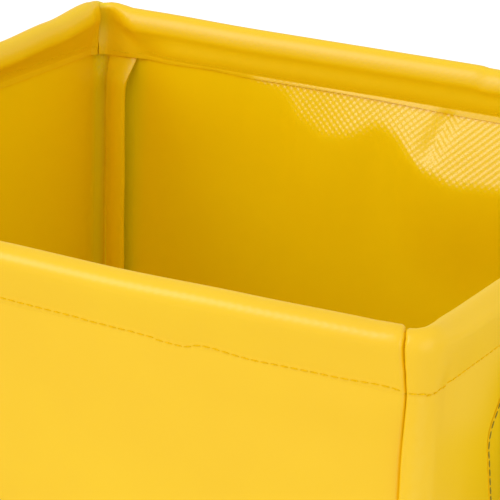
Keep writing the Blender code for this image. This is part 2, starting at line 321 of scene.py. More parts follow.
class Finish:
    """One material, or the world, built round its shader."""

    def __init__(self, name, world=False):
        self.block = (bpy.data.worlds if world else bpy.data.materials).new(name)
        self.block.use_nodes = True
        self.tree = self.block.node_tree
        self.shader = self.tree.nodes["Background" if world else "Principled BSDF"]

    def plug(self, socket, value):
        if isinstance(value, Link):
            self.tree.links.new(value.socket, socket)
        else:
            socket.default_value = value

    def node(self, kind, settings=None, sockets=None, output=0):
        """Adds a node, gives it its settings first, and then the values or links of its sockets."""
        node = self.tree.nodes.new("ShaderNode" + kind)
        for name, value in (settings or {}).items():
            setattr(node, name, value)
        for name, value in (sockets or {}).items():
            self.plug(node.inputs[name], value)
        return Link(self, node.outputs[output])

    def set(self, **sockets):
        for name, value in sockets.items():
            self.plug(self.shader.inputs[name.replace("_", " ")], value)

    def overlay(self, share, **sockets):
        """Covers the finish with a clear skin, which mirrors a fixed share of the light."""
        body = self.shader
        self.shader = self.tree.nodes.new("ShaderNodeBsdfPrincipled")
        self.set(Base_Color=(1, 1, 1, 1), Metallic=1.0, **sockets)
        layers = {0: share, 1: Link(self, body.outputs[0]), 2: Link(self, self.shader.outputs[0])}
        self.plug(self.tree.nodes["Material Output"].inputs["Surface"], self.node("MixShader", None, layers))

    def in_millimetres(self, vector):
        return self.node("VectorMath", {"operation": "SCALE"}, {0: vector, "Scale": 1 / MM})

    def parts(self, vector):
        """A vector's three parts."""
        split = self.node("SeparateXYZ", None, {0: vector}).socket.node
        return [Link(self, socket) for socket in split.outputs]

    def place(self):
        """Where a point is on its piece, in millimetres."""
        return self.in_millimetres(self.node("TexCoord", output="Object"))

    def cloth_map(self):
        """How far along and up its cloth a point is, in millimetres."""
        return self.parts(self.in_millimetres(self.node("UVMap", {"uv_map": "cloth"})))[:2]

    def marked(self, name):
        """How much of something a piece has been marked with, from 0 to 1."""
        return self.node("Attribute", {"attribute_name": name}, output="Fac")

    def speckle(self, where, size, detail=2.0):
        """Soft random spots about size millimetres across, from 0 to 1."""
        return self.node("TexNoise", None, {"Vector": where, "Scale": 1 / size, "Detail": detail})

    def mix(self, share, first, second):
        """One colour turning into another."""
        return self.node("Mix", {"data_type": "RGBA"}, {0: share, 6: first, 7: second}, output=2)

    def bump(self, height):
        """Turns a height in millimetres into a Normal."""
        return self.node("Bump", None, {"Strength": 1.0, "Distance": MM, "Height": height})


# %% [markdown]
# ## Coated cloth
# The cloth is a plain-woven net under a thick yellow vinyl skin. The net shows only where the skin
# mirrors a lamp: a fine chequer of raised and sunken spots, whose threads lie 1.4 mm apart. The
# colour lies under the skin and is lit evenly, so it is one shader, and the clear skin with the net
# in it is another over it. The net follows the cloth map, so it bends with every fold.
#
# Three attributes say where a piece differs. A folded edge is a little paler where it has been
# rubbed, which is "rub". Cloth that faces inwards is painted a lighter lemon yellow than the
# outside, a painted light for the brighter light inside the bucket, and "inside" says how far a
# point faces inwards. The grooves beside the upright seams, the allowances' flanks and the lower
# inside are painted an olive tint for their shade, which is "groove".

# %% The yellow coated cloth
THREAD_ACROSS, THREAD_UP = 1.47, 1.37
VINYL = (0.930, 0.580, 0.002, 1)
VINYL_DEEP = (0.905, 0.548, 0.0015, 1)
VINYL_RUBBED = (0.94, 0.64, 0.05, 1)
# The next colour is painted light, a lighter lemon for cloth that faces inwards, and the one after it painted shade, an
# olive tint for the grooves, the bands' flanks and the lower inside.
VINYL_INSIDE_LIT = (0.990, 0.677, 0.001, 1)
VINYL_SHADE_TINT = (0.88, 0.76, 0.003, 1)
SKIN_SHARE, SKIN_ROUGHNESS = 0.040, 0.31
NET_DEPTH = 0.055
WAVE_SIZE, WAVE_DEPTH = 14.0, 0.05
GRAIN_SIZE, GRAIN_DEPTH = 0.5, 0.003
TONE_SIZE, SHEEN_SIZE, RUB_SIZE = 60.0, 22.0, 3.0
RUB_SHARE = 0.14


def make_coated_cloth(name):
    cloth = Finish(name)
    along, up = cloth.cloth_map()
    where = cloth.place()
    net = (along * (math.pi / THREAD_ACROSS)).sine() * (up * (math.pi / THREAD_UP)).sine()
    waves = WAVE_DEPTH * cloth.speckle(where, WAVE_SIZE, 1.0)
    grain = GRAIN_DEPTH * cloth.speckle(where, GRAIN_SIZE, 1.0)
    tone = cloth.speckle(where, TONE_SIZE, 3.0)
    inner, weave, painted_shade = (cloth.marked(mark) for mark in ("inside", "weave", "groove"))
    rubbed = cloth.marked("rub") * cloth.speckle(where, RUB_SIZE, 3.0).rise(0.35, 0.70) * (1 - inner)
    colour = cloth.mix(tone.rise(0.3, 0.7), VINYL, VINYL_DEEP)
    # Painted light: cloth that faces inwards is painted a lighter lemon, for the light inside the bucket.
    colour = cloth.mix(inner, colour, VINYL_INSIDE_LIT)
    colour = cloth.mix(rubbed * RUB_SHARE, colour, VINYL_RUBBED)
    # Painted shade: an olive tint near the corners, low inside and on the bands' flanks, which also roughens the skin
    # below.
    colour = cloth.mix(painted_shade, colour, VINYL_SHADE_TINT)
    cloth.set(Base_Color=colour, Roughness=0.4, Normal=cloth.bump(waves), Specular_IOR_Level=0.03)
    sheen = 0.05 * cloth.speckle(where, SHEEN_SIZE, 2.0)
    skin_rough = SKIN_ROUGHNESS + sheen - 0.12 * weave + 0.04 * rubbed + 0.1 * painted_shade
    skin_height = NET_DEPTH * net * (0.25 + 0.75 * weave) + waves + grain
    cloth.overlay(SKIN_SHARE, Roughness=skin_rough, Normal=cloth.bump(skin_height))
    return cloth.block


coated_cloth = make_coated_cloth("coated_cloth")

# %% [markdown]
# ## Threads, webbing, rubber and rods
# The hem is sewn with a yellow thread a shade deeper than the cloth, and the handle patches with a
# dark one. Webbing is ribbed lengthwise, with a weft that shows as short steps across each rib.
# The grips are a matt moulded rubber, and the rods are drawn glass fibre.


# %% Sewing threads
def make_thread(name, colour, gloss=0.5):
    thread = Finish(name)
    twist = thread.speckle(thread.place(), 0.35, 1.0)
    shade = thread.mix(twist.rise(0.35, 0.65), colour, tuple(0.8 * part for part in colour[:3]) + (1,))
    normal = thread.bump(0.05 * twist)
    thread.set(Base_Color=shade, Roughness=0.55 + 0.2 * twist, Normal=normal, Specular_IOR_Level=gloss)
    return thread.block


yellow_thread = make_thread("yellow_thread", (0.95, 0.55, 0.002, 1), gloss=0.05)
lemon_thread = make_thread("lemon_thread", (0.935, 0.66, 0.002, 1), gloss=0.05)
dark_thread = make_thread("dark_thread", (0.29, 0.215, 0.010, 1))

# %% Black webbing
RIB_WIDTH, WEFT_STEP = 1.55, 1.1


def make_webbing(name):
    webbing = Finish(name)
    along, up = webbing.cloth_map()
    where = webbing.place()
    rib = (along * (2 * math.pi / RIB_WIDTH)).sine()
    lean = up + 0.35 * RIB_WIDTH * (along * (math.pi / RIB_WIDTH)).sine()
    weft = (lean * (2 * math.pi / WEFT_STEP)).sine()
    fuzz = webbing.speckle(where, 0.25, 2.0)
    worn = webbing.speckle(where, 9.0, 3.0)
    # Painted light and wear: the ribs' and the weft's crests are painted lighter and their hollows darker, following
    # the bump, and slow random patches are lighter where the webbing is worn.
    crest_shade_and_wear = (0.5 + 0.25 * rib + 0.25 * weft) * (0.7 + 0.6 * worn)
    colour = webbing.mix(crest_shade_and_wear, (0.008, 0.008, 0.009, 1), (0.045, 0.045, 0.049, 1))
    normal = webbing.bump(0.10 * rib + 0.06 * weft + 0.03 * fuzz)
    webbing.set(Base_Color=colour, Roughness=0.62 + 0.2 * fuzz, Normal=normal)
    webbing.set(Sheen_Weight=0.25, Sheen_Roughness=0.4)
    return webbing.block


black_webbing = make_webbing("black_webbing")

# %% Grip rubber and rod
def make_rubber(name):
    rubber = Finish(name)
    where = rubber.place()
    pores = rubber.speckle(where, 0.6, 2.0)
    dust = rubber.speckle(where, 12.0, 4.0).rise(0.45, 0.75)
    colour = rubber.mix(dust, (0.022, 0.022, 0.023, 1), (0.040, 0.039, 0.037, 1))
    rubber.set(Base_Color=colour, Roughness=0.50 + 0.22 * pores, Normal=rubber.bump(0.05 * pores))
    return rubber.block


def make_glass_fibre(name):
    rod = Finish(name)
    where = rod.place()
    streaks = rod.speckle(where, 1.2, 4.0)
    colour = rod.mix(streaks, (0.50, 0.51, 0.46, 1), (0.66, 0.66, 0.60, 1))
    rod.set(Base_Color=colour, Roughness=0.38 + 0.1 * streaks, Normal=rod.bump(0.02 * streaks))
    return rod.block


grip_rubber = make_rubber("grip_rubber")
glass_fibre = make_glass_fibre("glass_fibre")
print("materials:", [material.name for material in bpy.data.materials])

# %% [markdown]
# ## Cutting and folding cloth
# Every cloth piece starts as a flat grid with its real size, which also gives its cloth map. Its
# rows lie closer together near the edges, where a seam rolls the cloth in. Then each point is moved
# to where the folded cloth has it, and Solidify gives the sheet its thickness.

# %% Flat panels
EDGE_STRIP = 3.2 * MM
EDGE_ROWS = 8


def row_marks(length, count):
    """Where a panel's rows lie: close together in the strip along each edge."""
    inner = count - 2 * EDGE_ROWS
    marks = []
    for row in range(count + 1):
        if row <= EDGE_ROWS:
            marks.append(EDGE_STRIP * row / EDGE_ROWS)
        elif row < count - EDGE_ROWS:
            marks.append(EDGE_STRIP + (length - 2 * EDGE_STRIP) * (row - EDGE_ROWS) / inner)
        else:
            marks.append(length - EDGE_STRIP * (count - row) / EDGE_ROWS)
    return [mark - length / 2 for mark in marks]


def cut_panel(width, height, columns, rows):
    """A flat panel of cloth round the origin, with its cloth map."""
    bm = bmesh.new()
    bmesh.ops.create_grid(bm, x_segments=columns, y_segments=rows, size=0.5)
    across, up = row_marks(width, columns), row_marks(height, rows)
    for vert in bm.verts:
        column = round((vert.co.x + 0.5) * columns)
        row = round((vert.co.y + 0.5) * rows)
        vert.co = (across[column], up[row], 0)
    cloth_map = bm.loops.layers.uv.new("cloth")
    for face in bm.faces:
        for loop in face.loops:
            loop[cloth_map].uv = loop.vert.co.xy
    return bm


def fold(bm, place, rub=None):
    """Moves each point of a flat panel to its place, and marks how much it has been rubbed."""
    rub_layer = bm.verts.layers.float.new("rub")
    for vert in bm.verts:
        along, up = vert.co.x, vert.co.y
        vert.co = place(along, up)
        vert[rub_layer] = rub(along, up) if rub else 0.0


# %% Marking what faces inwards
CORNER_POWER = 5
FACING_FROM, FACING_RANGE = 0.1, 0.7
# How strong the painted shade is on a band's flanks, and how it grows below a height on the walls.
FLANK_SHADE = 0.8
DEEP_SHADE, DEEP_Z, DEEP_RANGE = 0.27, 0.245, 0.06


def mark_inside(mesh, weave=1.0, inside_light=1.0, groove=None):
    """Marks each point of a cloth piece by how far it faces the bucket's middle.

    The net stands out only on the cloth's inner face, and weave gives how much. The next argument
    gives how much of the inside's lemon colour it takes, which is painted light for the brighter
    light inside the bucket, and groove how far from a corner the painted olive shade reaches. A
    wall's painted shade also grows with the depth. Without a groove, the piece is a band that lies
    wholly inside, and the painted shade is on its flanks.
    """
    count = len(mesh.vertices)
    places, normals = np.empty(count * 3, np.float32), np.empty(count * 3, np.float32)
    mesh.vertices.foreach_get("co", places)
    mesh.vertices.foreach_get("normal", normals)
    places, normals = places.reshape(-1, 3), normals.reshape(-1, 3)
    outward = (places[:, :2] / HALF) ** CORNER_POWER
    outward /= np.linalg.norm(outward, axis=1, keepdims=True) + 1e-9
    inwards = -(outward * normals[:, :2]).sum(axis=1)
    on_the_bottom = places[:, 2] < 3 * MM
    inwards = np.where(on_the_bottom, normals[:, 2], inwards)
    share = np.clip((inwards + FACING_FROM) / FACING_RANGE, 0, 1)
    share = (share * share * (3 - 2 * share)).astype(np.float32)
    # The "inside" mark lays painted light, a lighter lemon on cloth that faces inwards, and the "groove" mark lays
    # painted shade, an olive tint near the corners, low down and on a band's flanks.
    if groove is None:
        lemon, painted_shade = np.ones(count), FLANK_SHADE * (1 - share)
    else:
        from_corner = np.hypot(HALF - abs(places[:, 0]), HALF - abs(places[:, 1]))
        near = np.clip((groove - from_corner) / (0.5 * groove + 1e-9), 0, 1)
        deep = DEEP_SHADE * np.clip((DEEP_Z - places[:, 2]) / DEEP_RANGE, 0, 1)
        lemon, painted_shade = share, share * np.maximum(near, deep)
    for name, values in (("inside", inside_light * lemon), ("weave", weave * share), ("groove", painted_shade)):
        mesh.attributes.new(name, "FLOAT", "POINT").data.foreach_set("value", values.astype(np.float32))


# %% Turning a folded panel into a piece
SHARP = math.radians(40)


def turned(bm, angle):
    """Turns a piece about the bucket's upright middle line, for the opposite side."""
    bmesh.ops.rotate(bm, cent=(0, 0, 0), matrix=Matrix.Rotation(angle, 3, "Z"), verts=bm.verts)
    return bm


def make_piece(name, bm, material, slot, thickness=0.0):
    """Gives the sheet its thickness, and makes the finished mesh an object at the origin."""
    mesh = bpy.data.meshes.new(name)
    bm.to_mesh(mesh)
    bm.free()
    piece = bpy.data.objects.new(name, mesh)
    bpy.context.scene.collection.objects.link(piece)
    if thickness:
        solidify = piece.modifiers.new("thickness", "SOLIDIFY")
        solidify.thickness = thickness
        solidify.offset = 0
        graph = bpy.context.evaluated_depsgraph_get()
        solid = bpy.data.meshes.new_from_object(piece.evaluated_get(graph))
        piece.modifiers.clear()
        piece.data = solid
        solid.name = name
    piece.data.shade_smooth()
    piece.data.set_sharp_from_angle(angle=SHARP)
    piece.data.materials.clear()
    piece.data.materials.append(material)
    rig.slot(piece, slot)
    return piece


def surface_of(*pieces):
    """The pieces' surface, on which stitches find their place."""
    verts, faces = [], []
    for piece in pieces:
        start = len(verts)
        verts += [vert.co.copy() for vert in piece.data.vertices]
        faces += [[start + index for index in face.vertices] for face in piece.data.polygons]
    return BVHTree.FromPolygons(verts, faces)


# %% [markdown]
# ## The hem's outline
# Seen end on, the hem rises flat from the stitches, goes round the rod and comes back down to the
# stitches, and its cut edge ends a little below them. Beyond the rod's end nothing holds it round,
# so it falls flat towards the corner. `Outline` reads a line by the share of its length, which lets
# the round and the flat outline be blended point by point.


# %% Lines read by the share of their length
class Outline:
    def __init__(self, points):
        self.points = [Vector(point) for point in points]
        self.marks = [0.0]
        for start, end in zip(self.points, self.points[1:]):
            self.marks.append(self.marks[-1] + (end - start).length)
        self.length = self.marks[-1]

    def find(self, share):
        """Which stretch of the line a share of its length lies on, and how far along that stretch."""
        target = min(max(share, 0.0), 1.0) * self.length
        index = min(bisect.bisect_right(self.marks, target), len(self.marks) - 1) - 1
        return index, (target - self.marks[index]) / (self.marks[index + 1] - self.marks[index])

    def at(self, share):
        index, part = self.find(share)
        return self.points[index].lerp(self.points[index + 1], part)


def arc(centre, radii, start, end, steps):
    """Points round a centre on a circle or an ellipse, from one angle to another in radians."""
    angles = [start + (end - start) * step / steps for step in range(steps + 1)]
    return [(centre[0] + radii[0] * math.cos(a), centre[1] + radii[1] * math.sin(a)) for a in angles]


def tangent_angle(point, centre, radius, side):
    """Where a straight line from a point meets a circle, as an angle round its centre."""
    toward = Vector(point) - Vector(centre)
    return math.atan2(toward.y, toward.x) + side * math.acos(radius / toward.length)


# %% The hem round its rod, and the hem fallen flat
ROLL_RADIUS = 4.7 * MM
ROLL_DROP = 7.5 * MM
ROLL_REACH = 3.8 * MM
ROLL_INSET = 2.6 * MM
ROLL_Z = RIM_Z - ROLL_RADIUS - CLOTH / 2
PLY_STEP = 0.87 * MM
OUTER_PLY, INNER_PLY = CLOTH / 2, CLOTH / 2 + PLY_STEP
ROLL_STEPS, FALL_STEPS = 24, 10
SOFT_FALL = 1.22
outer_foot = (OUTER_PLY, STITCH_Z)
raw_edge = [(INNER_PLY, STITCH_Z - 0.6 * MM), (INNER_PLY - 0.1 * MM, STITCH_Z - 2.4 * MM)]


def inner_line(inset, height):
    """The inner ply's line from the fold down to the stitches, which it meets upright."""
    line = []
    for step in range(1, FALL_STEPS + 1):
        share = step / FALL_STEPS
        fall = 1 - (1 - share) ** SOFT_FALL
        line.append((inset + (INNER_PLY - inset) * fall, height + (STITCH_Z - height) * share))
    return line


roll_start = tangent_angle(outer_foot, (ROLL_INSET, ROLL_Z), ROLL_RADIUS, -1) + 2 * math.pi
outer_arc = arc((ROLL_INSET, ROLL_Z), (ROLL_RADIUS, ROLL_RADIUS), roll_start, math.pi / 2, ROLL_STEPS)
inner_z = ROLL_Z + ROLL_RADIUS - ROLL_DROP
inner_arc = arc((ROLL_INSET, inner_z), (ROLL_REACH, ROLL_DROP), math.pi / 2, 0, ROLL_STEPS)
round_hem = Outline(
    [outer_foot] + outer_arc + inner_arc[1:] + inner_line(ROLL_INSET + ROLL_REACH, inner_z) + raw_edge
)
FLAT_TOP_Z = RIM_Z - 1.9 * MM
FLAT_FOLD = 1.3 * MM
flat_z = FLAT_TOP_Z - FLAT_FOLD
flat_arc = arc((OUTER_PLY + FLAT_FOLD, flat_z), (FLAT_FOLD, FLAT_FOLD), math.pi, 0, ROLL_STEPS)
flat_hem = Outline([outer_foot] + flat_arc + inner_line(OUTER_PLY + 2 * FLAT_FOLD, flat_z) + raw_edge)
print(f"the hem takes {round_hem.length / MM:.1f} mm of cloth")


def rolled_in(distance, radius):
    """How far a seam has rolled the cloth in, that far from the seam's line."""
    if distance >= radius:
        return 0.0
    return radius - math.sqrt(radius * radius - (radius - distance) ** 2)


OUTER_ROOM, INNER_ROOM = 2.5, 0.4
STEP_ASIDE = 0.01


def hem_outline(share, flatness, inward):
    """One point of the hem seen end on, as (inset from the face, height), that far inside its surface."""

    def blended(at):
        return round_hem.at(at).lerp(flat_hem.at(at), flatness)

    along = (blended(share + STEP_ASIDE) - blended(share - STEP_ASIDE)).normalized()
    outer = OUTER_ROOM - flatness
    room = outer + (INNER_ROOM - outer) * smooth(share, 0.42, 0.60) - INNER_ROOM * smooth(share, 0.80, 0.92)
    return blended(share) + Vector((along.y, -along.x)) * min(inward, room * MM)


def turned_edge(along, half_length, seam_at, radius):
    """Where a cut edge goes that is turned inwards at a seam: (place along the face, how far inside it).

    Behind the groove, where the thread pulls them together, the two edges meet.
    """
    around = half_length - abs(along) - TURNING
    if around <= 0:
        from_seam, inward = -SEAM_CLOSE * smooth(-around, 0, CLOSING_REACH), radius - around
    elif around < radius * math.pi / 2:
        angle = around / radius
        from_seam, inward = radius * (1 - math.cos(angle)), radius * (1 - math.sin(angle))
    else:
        from_seam, inward = around - radius * (math.pi / 2 - 1), 0.0
    return math.copysign(seam_at - from_seam, along), inward


def drifted(along, seam_at, drift):
    """Moves a place near a seam along the cloth, as the seam itself has drifted there."""
    return along + math.copysign(1, along) * drift * smooth(seam_at - abs(along), DRIFT_REACH, 0)


# %% [markdown]
# ## The plan of the walls
# The front and back panels are flat and end at the upright seams. The side panels wrap both of
# their corners. Where a face panel's hem has crept past its seam, it wraps the corner as well. A
# plan gives, for a distance along the cloth, the point on the outer face and the direction into
# the bucket.

# %% Where each panel runs, seen from above
WRAP_RADIUS = CORNER - CLOTH / 2
WRAP = math.pi / 2 * WRAP_RADIUS
TURNING = 1.6 * MM
SEAM_ROUND = 1.2 * MM
SEAM_CLOSE, CLOSING_REACH = 0.13 * MM, 0.6 * MM
SEAM_SLACK = 0.12 * MM
DRIFT_REACH = 16 * MM
FACE_SEAM = SEAM - CLOTH / 2 - SEAM_SLACK
SIDE_SEAM = SEAM + WRAP - CLOTH / 2 - SEAM_SLACK
FACE_LENGTH = 2 * (FACE_SEAM + TURNING + SEAM_ROUND * (math.pi / 2 - 1))
SIDE_LENGTH = 2 * (SIDE_SEAM + TURNING + SEAM_ROUND * (math.pi / 2 - 1))


def face_plan(along):
    over = abs(along) - SEAM
    if over <= 0:
        return Vector((along, -HALF)), Vector((0, 1))
    reach = math.copysign(1, along)
    angle = min(over / WRAP_RADIUS, math.pi / 2)
    outward = Vector((reach * math.sin(angle), -math.cos(angle)))
    past_corner = Vector((0, max(over - WRAP, 0)))
    return Vector((reach * SEAM, -SEAM)) + past_corner + outward * CORNER, -outward


def side_plan(along):
    over = abs(along) - SEAM
    if over <= 0:
        return Vector((HALF, along)), Vector((-1, 0))
    reach = math.copysign(1, along)
    angle = over / WRAP_RADIUS
    outward = Vector((math.cos(angle), reach * math.sin(angle)))
    return Vector((SEAM, reach * SEAM)) + outward * CORNER, -outward


def put(plan, along, inset, height):
    """A point that far along the panel, that far inside its face and that high."""
    origin, inward = plan(along)
    spot = origin + inward * inset
    return Vector((spot.x, spot.y, height))


# %% [markdown]
# ## How the cloth bulges and sags
# No sewn wall is flat. Each panel has a slow swell, small puckers along the hem's stitches, and the
# folds that the photograph shows: on the back wall a long bulge under the hem, which catches the
# light, and on the right wall a soft pull towards the handle's patch. Each function gives how far
# the cloth stands outwards, and it fades to nothing at the seams.


# %% Swells shared by all walls
SLOW_SWELL, SLOW_SIZE = 0.7 * MM, 95 * MM
FINE_SWELL, FINE_SIZE = 0.2 * MM, 34 * MM
PUCKER, PUCKER_SIZE = 0.16 * MM, 6 * MM


def edge_fade(along, height, half_length):
    sides = smooth(half_length - abs(along), 0.5 * MM, 14 * MM)
    return sides * smooth(height, 3 * MM, 30 * MM)


def puckers(along, height, seed):
    """Small gathers along the line of stitches."""
    near = math.exp(-abs(height - STITCH_Z) / PUCKER_SIZE)
    return PUCKER * near * swell(along, height * 0.3, PUCKER_SIZE, seed)


def common_swell(along, height, half_length, seed):
    fade = edge_fade(along, height, half_length)
    slow = SLOW_SWELL * swell(along, height, SLOW_SIZE, seed)
    slow += FINE_SWELL * swell(along, height, FINE_SIZE, seed + 5)
    return fade * slow + puckers(along, height, seed) * smooth(half_length - abs(along), 0, 5 * MM)


def ridge(run, off, width, start, end):
    """A soft straight ridge, at run along its line and at off beside it."""
    return math.exp(-((off / width) ** 2)) * smooth(run, *start) * smooth(run, *end)


# %% Swells of each wall
BULGE_FOOT = [
    (-66, 259), (-52.7, 257.5), (-42.4, 247.2), (-30.7, 242.6), (-22, 244), (-7.6, 250.4), (-0.6, 247.6),
    (5.8, 241.8), (14.6, 236.5), (27.4, 233.5), (41.1, 234.8), (75, 238), (100, 247), (118, 258),
]
BULGE_TOP_Z = STITCH_Z - 0.2 * MM
BULGE_SLOPE = [(-66, 0.15), (-40, 0.20), (-12, 0.28), (10, 0.33)]
FOOT_SOFT = 2.6 * MM
FOLD_TOP = Vector((0.0208, 0.2608))
FOLD_DIRECTION = Vector((-0.379, -0.925))
FOLD_HEIGHT, FOLD_WIDTH = 1.0 * MM, 2.6 * MM
BULGE_DEPTH = 6.5 * MM
BULGE_FADE, BROAD_FADE = 50 * MM, 130 * MM
HEM_LEAN = 3.6 * MM
SEAM_PULL, SEAM_PULL_REACH = 1.5 * MM, 9 * MM
FRONT_HILLS = ((0.55, (0.119, 0.2545), 11, 5), (-0.50, (0.098, 0.2450), 20, 7))
PULL_FOOT = (-0.122, 0.222)
PULL_DIRECTION = (0.95, 0.31)


def bulge_foot(x):
    """The height at which the back wall's bulge is fullest."""
    for (x0, z0), (x1, z1) in zip(BULGE_FOOT, BULGE_FOOT[1:]):
        if x0 * MM <= x <= x1 * MM:
            share = smooth(x, x0 * MM, x1 * MM)
            return (z0 + (z1 - z0) * share) * MM
    return BULGE_TOP_Z


def seam_pull(along):
    """How far an upright seam pulls the cloth beside it inwards."""
    return SEAM_PULL * smooth(abs(along), SEAM - SEAM_PULL_REACH, SEAM)


def front_swell(along, height):
    out = common_swell(along, height, SEAM, 3.1)
    for proud, at, width, tall in FRONT_HILLS:
        out += proud * MM * hill(along, height, at, width * MM, tall * MM)
    return out * smooth(SEAM - abs(along), 0, 4 * MM)


def back_swell(along, height):
    """Here along runs against X, because the back panel is the front one turned round."""
    x = -along
    foot = min(bulge_foot(x), BULGE_TOP_Z)
    slope = through(BULGE_SLOPE, x / MM)
    full = slope * (BULGE_TOP_Z - foot)
    broad = BULGE_DEPTH * smooth(x, -75 * MM, -20 * MM) * smooth(x, 125 * MM, 70 * MM)
    lean = HEM_LEAN * smooth(SEAM - abs(x), 12 * MM, 34 * MM)
    full += lean
    above_foot = slope * max(BULGE_TOP_Z - height, 0) + lean
    below = foot - height
    below_foot = (full - broad) * (1 - smooth(below, 0, BULGE_FADE))
    below_foot += broad * (1 - smooth(below, 0, BROAD_FADE))
    share = smooth(height, foot - FOOT_SOFT, foot + FOOT_SOFT)
    inwards = above_foot * share + below_foot * (1 - share)
    run = (Vector((x, height)) - FOLD_TOP).dot(FOLD_DIRECTION)
    off = (Vector((x, height)) - FOLD_TOP).cross(FOLD_DIRECTION)
    crease = ridge(run, off, FOLD_WIDTH, (-1 * MM, 4 * MM), (24 * MM, 16 * MM))
    return common_swell(along, height, SEAM, 17.7) - inwards + FOLD_HEIGHT * crease


def side_swell(along, height, seed):
    out = 0.35 * common_swell(along, height, SEAM, seed)
    patches = smooth(abs(along), 96 * MM, 82 * MM) * smooth(height, 165 * MM, 185 * MM)
    return out * (1 - patches)


def right_swell(along, height):
    out = side_swell(along, height, 29.3)
    x, z = along - PULL_FOOT[0], height - PULL_FOOT[1]
    run = x * PULL_DIRECTION[0] + z * PULL_DIRECTION[1]
    off = -x * PULL_DIRECTION[1] + z * PULL_DIRECTION[0]
    pull = ridge(run, off, 4.5 * MM, (-8 * MM, 8 * MM), (34 * MM, 20 * MM))
    corner = 0.35 * MM * hill(along, height, (-0.126, 0.262), 2.2 * MM, 12 * MM)
    return out + 0.15 * MM * pull - corner


def left_swell(along, height):
    out = side_swell(along, height, 41.9)
    return out - 0.9 * MM * hill(along, height, (-0.1365, 0.2480), 2.5 * MM, 4 * MM)


# %% [markdown]
# ## Walls
# Each wall is one sheet from the bottom seam to the hem's stitches. It is declared as a sheet with
# its flat size. When the rim is pressed down the walls crumple, so they squash towards the bottom.

# %% The four sides
# Each has its plan, its cut length, its swell, its turn round the middle and its seams' place.
SIDES = {
    "front": (face_plan, FACE_LENGTH, front_swell, 0, FACE_SEAM),
    "back": (face_plan, FACE_LENGTH, back_swell, math.pi, FACE_SEAM),
    "right": (side_plan, SIDE_LENGTH, right_swell, 0, SIDE_SEAM),
    "left": (side_plan, SIDE_LENGTH, left_swell, math.pi, SIDE_SEAM),
}


def toward_corner(side, along, face, wrap):
    """1 or -1 at the end of a face panel or a wrapping panel that meets the other, and 0 elsewhere."""
    return (side == face and along > 0) - (side == wrap and along < 0)


# %% Build the four walls
FOOT_ROUND = 0.9 * MM
TURNED_DEPTH, SHALLOWER_TOP = 2.8, 1.2
SEAM_LEAN = [
    (0, 0.75), (0.12, 0.5), (0.22, 0.2), (0.30, 0.1), (0.38, 0.0), (0.468, -1.0), (0.53, -1.8), (0.66, 0),
]
WALL_HEIGHT = STITCH_Z - FOOT_Z - 0.02 * MM
RIM_TRAVEL = 0.175
WALL_KEEP = 1 - RIM_TRAVEL / WALL_HEIGHT


def corner_drift(side, along, height):
    """How far the front right seam leans along the front, just under the hem."""
    lean = SEAM_LEAN[0][1] * MM * smooth(height, 0.240, STITCH_Z)
    return toward_corner(side, along, "front", "right") * lean


def fold_wall(side):
    plan, length, swell_of, _, seam_at = SIDES[side]

    def place(along, up):
        height = FOOT_Z + WALL_HEIGHT / 2 + up
        along, inward = turned_edge(along, length / 2, seam_at, SEAM_ROUND)
        along = drifted(along, seam_at, corner_drift(side, along, height))
        inward = min(inward, (TURNED_DEPTH - SHALLOWER_TOP * smooth(height, 0.236, 0.250)) * MM)
        inward += rolled_in(height - FOOT_Z, FOOT_ROUND)
        if plan is face_plan:
            inward += seam_pull(along) * smooth(STITCH_Z - height, 1 * MM, 14 * MM)
        return put(plan, along, CLOTH / 2 - swell_of(along, height) + inward, height)

    return place


def corner_rub(plan):
    """A wall is rubbed where it wraps the corners and along its foot."""

    def rub(along, up):
        corner = hill(abs(along), 0, (SEAM + WRAP / 2, 0), 3 * MM, 1) if plan is side_plan else 0
        return max(corner, 1 - smooth(up + WALL_HEIGHT / 2, 0, 3 * MM))

    return rub


WALL_COLUMNS, WALL_ROWS = 120, 112
# How far from a corner the painted shade reaches on the faces, the sides and the hems.
FACE_GROOVE, SIDE_GROOVE, HEM_GROOVE = 26 * MM, 6.5 * MM, 7.5 * MM
walls = {}
for side, (plan, length, _, angle, _) in SIDES.items():
    panel = cut_panel(length, WALL_HEIGHT, WALL_COLUMNS, WALL_ROWS)
    fold(panel, fold_wall(side), corner_rub(plan))
    wall = make_piece(f"{side}_wall_cloth", turned(panel, angle), coated_cloth, "vinyl", CLOTH)
    mark_inside(wall.data, groove=FACE_GROOVE if plan is face_plan else SIDE_GROOVE)
    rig.ride(wall, "base")
    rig.replaces(wall, f"{side}_wall")
    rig.sheet(wall, flat=(length, WALL_HEIGHT), held="stretched", rests_on=["bottom_panel"])
    walls[side] = wall
    print(wall.name, f"cut {length / MM:.0f} by {WALL_HEIGHT / MM:.0f} mm")

# %% [markdown]
# ## Hems
# The hem's cloth goes flat at both ends, more at some corners than at others. Its roll also rises or
# sags a little along the rim, as it does in the photograph, and the back hem's cut edge isn't quite
# straight. In the rear left corner the fold runs slantwise, from the rod's end down to where the
# seam allowance is caught under the hem.

# %% How each hem lies
FLAT_REACH = 1.9 * MM


def slanted(share):
    """How much further from the corner the hem starts to fall flat, for the cloth that lies inside."""
    return (2.5 * smooth(share, 0.42, 0.60) + 7.5 * smooth(share, 0.50, 0.93)) * MM


def flatness(along, share, half_length, ends):
    """How flat the hem is: ends gives how much at its two ends, and where that starts."""
    amount, reach = ends[0] if along < 0 else ends[1]
    start = half_length - reach * MM - slanted(share) * (1 if amount > 0.9 else 0.4)
    return amount * smooth(abs(along), start - FLAT_REACH, start + FLAT_REACH)


def gathers(along):
    """Small upright gathers where the right hem goes round the front corner."""
    return 0.05 * MM * math.sin(along / (0.42 * MM)) * hill(along, 0, (-0.131, 0), 5 * MM, 1)


def lifted(curve, along):
    """Reads a curve of (place, lift) pairs in millimetres."""
    return through(curve, along / MM) * MM


